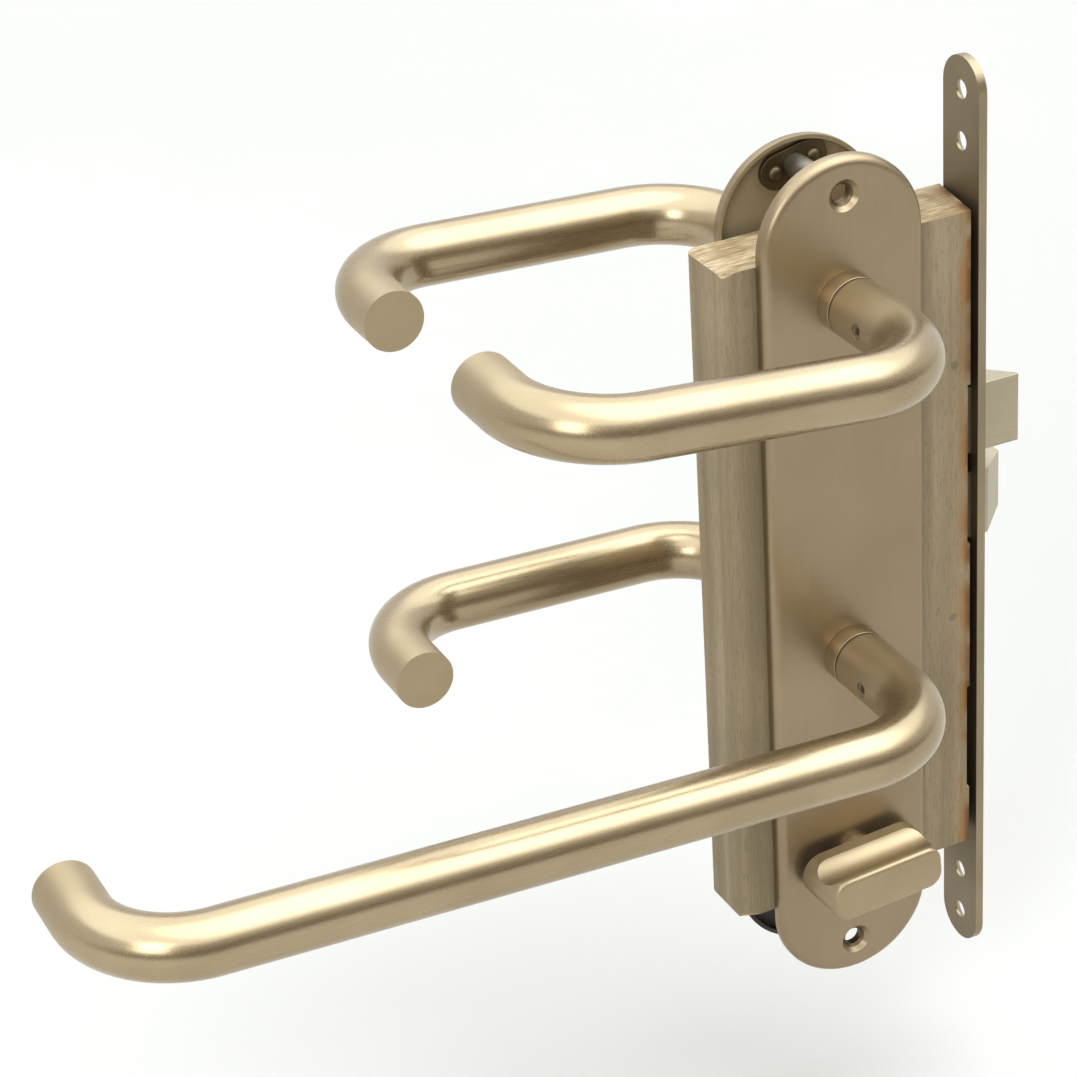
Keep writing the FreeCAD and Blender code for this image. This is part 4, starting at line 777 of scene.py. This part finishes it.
def plain_nodes():
    """Nodes that stay as they are take a material."""
    for names, material in (
            (("forend_spacers", "forend_screws", "case_cover", "case_screws", "latch_guide", "latch_tail",
              "bolt_plate", "follower_link", "upper_link_pin", "lower_link_pin", "upper_spindle",
              "lower_spindle", "turn_spindle"), zinc),
            (("latch_rivet", "bolt_rivets"), bolt_steel),
            (("upper_follower", "lower_follower", "turn_cam"), sintered),
            (("upper_lever_inserts", "lower_lever_inserts"), satin_round),
            (("upper_grub_screws", "lower_grub_screws"), dull_screw)):
        for node in names:
            mesh = nodes[node].data
            mesh.materials.clear()
            mesh.materials.append(material)


# Floor, light and camera
def direct_rays(tree, rays):
    """1 for what the camera sees and for what metal mirrors, else 0."""
    seen = add(tree, MATH, [rays["Is Camera Ray"], rays["Is Glossy Ray"]], operation="MAXIMUM")
    return add(tree, MATH, [seen, rays["Is Transmission Ray"]], operation="MAXIMUM")


def floor():
    """Pale seamless floor; the glow added for direct rays takes it to white outside the shadow."""
    mesh = bpy.data.meshes.new("floor")
    level = cad_box[0][2] - FLOOR_DROP
    corners = [(x * FLOOR_HALF, y * FLOOR_HALF, level) for x, y in ((-1, -1), (1, -1), (1, 1), (-1, 1))]
    mesh.from_pydata(corners, [], [(0, 1, 2, 3)])
    item = bpy.data.objects.new("floor", mesh)
    bpy.context.scene.collection.objects.link(item)
    material, tree, shader, place = surface("pale_floor")
    cloud = add(tree, NOISE, {"Vector": place, "Scale": 1 / FLOOR_CLOUD, "Detail": 3.0})
    fill(tree, shader["Base Color"], add(tree, RAMP, [cloud], [(0.3, "#F4F3F0"), (0.7, "#F8F7F4")]))
    fill(tree, shader["Roughness"], 0.9)
    fill(tree, shader["Emission Color"], "#FFFFFF")
    direct = direct_rays(tree, add(tree, "ShaderNodeLightPath").outputs)
    fill(tree, shader["Emission Strength"], add(tree, MATH, [direct, FLOOR_GLOW], operation="MULTIPLY"))
    mesh.materials.append(material)


def aimed(name, kind, place, target, energy, colour):
    """A lamp that looks from a place to a target."""
    data = bpy.data.lights.new(name, kind)
    data.energy = energy
    data.color = colour
    item = bpy.data.objects.new(name, data)
    bpy.context.scene.collection.objects.link(item)
    item.location = place
    item.rotation_euler = (Vector(target) - Vector(place)).to_track_quat("-Z", "Y").to_euler()
    return data


def studio():
    """Broad soft light overhead, a softbox to the left and a pale surround."""
    world = bpy.data.worlds.new("Studio")
    bpy.context.scene.world = world
    world.use_nodes = True
    tree = world.node_tree
    tree.nodes.clear()
    # The surround is white for the camera. In the metal it is white overhead and behind, darker and
    # warmer low in front
    sky = add(tree, "ShaderNodeTexCoord").outputs["Generated"]
    height = add(tree, "ShaderNodeVectorMath", [sky, (0.0, 0.45, 0.9)], operation="DOT_PRODUCT")
    height = add(tree, MATH, [height, 0.3], operation="ADD")
    mirrored = add(tree, RAMP, [height], [(0.08, "#857C70"), (0.3, "#CFC9BF"), (0.5, "#FFFFFF")])
    rays = add(tree, "ShaderNodeLightPath").outputs
    to_camera = rays["Is Camera Ray"]
    surround = add(tree, MIX, {FACTOR: to_camera, UNDER: mirrored, OVER: "#FFFFFF"}, data_type="RGBA")
    pale = add(tree, "ShaderNodeBackground", {"Color": surround, "Strength": 1.0})
    dim = add(tree, "ShaderNodeBackground", {"Color": (1, 0.985, 0.96, 1), "Strength": 0.4})
    mixed = add(tree, "ShaderNodeMixShader", [direct_rays(tree, rays), dim, pale])
    add(tree, "ShaderNodeOutputWorld", {"Surface": mixed})
    above = aimed("light_above", "SUN", place=(0.3, -0.15, 0.92), target=(0, 0, 0), energy=1.7,
                  colour=DAYLIGHT)
    above.angle = math.radians(60)
    # A wide card overhead that only the metal mirrors
    card = aimed("card_above", "SUN", place=(0.1, 0.05, 0.97), target=(0, 0, 0), energy=4.1,
                 colour=(0.85, 0.94, 1.0))
    card.angle = math.radians(110)
    bpy.data.objects["card_above"].visible_diffuse = False
    left = aimed("softbox_left", "AREA", place=(-1.15, -0.95, 0.75), target=(-0.1, 0, 0), energy=8.5,
                 colour=DAYLIGHT)
    left.shape = "RECTANGLE"
    left.size = 0.6
    left.size_y = 0.8


def camera():
    """The photo's viewpoint, 28 degrees above and 24 degrees to the left of the plate's front."""
    data = bpy.data.cameras.new("Camera")
    data.sensor_width = 36
    data.lens = CAMERA_LENS
    data.shift_x, data.shift_y = CAMERA_SHIFT
    item = bpy.data.objects.new("Camera", data)
    bpy.context.scene.collection.objects.link(item)
    item.location = CAMERA_PLACE
    item.rotation_euler = [math.radians(angle) for angle in CAMERA_TURN]
    bpy.context.scene.camera = item


levers()
collars()
pad_rivets()
springs()
door_block()
steel_pieces()
plain_nodes()
floor()
studio()
camera()
bpy.context.scene.view_settings.view_transform = "Standard"
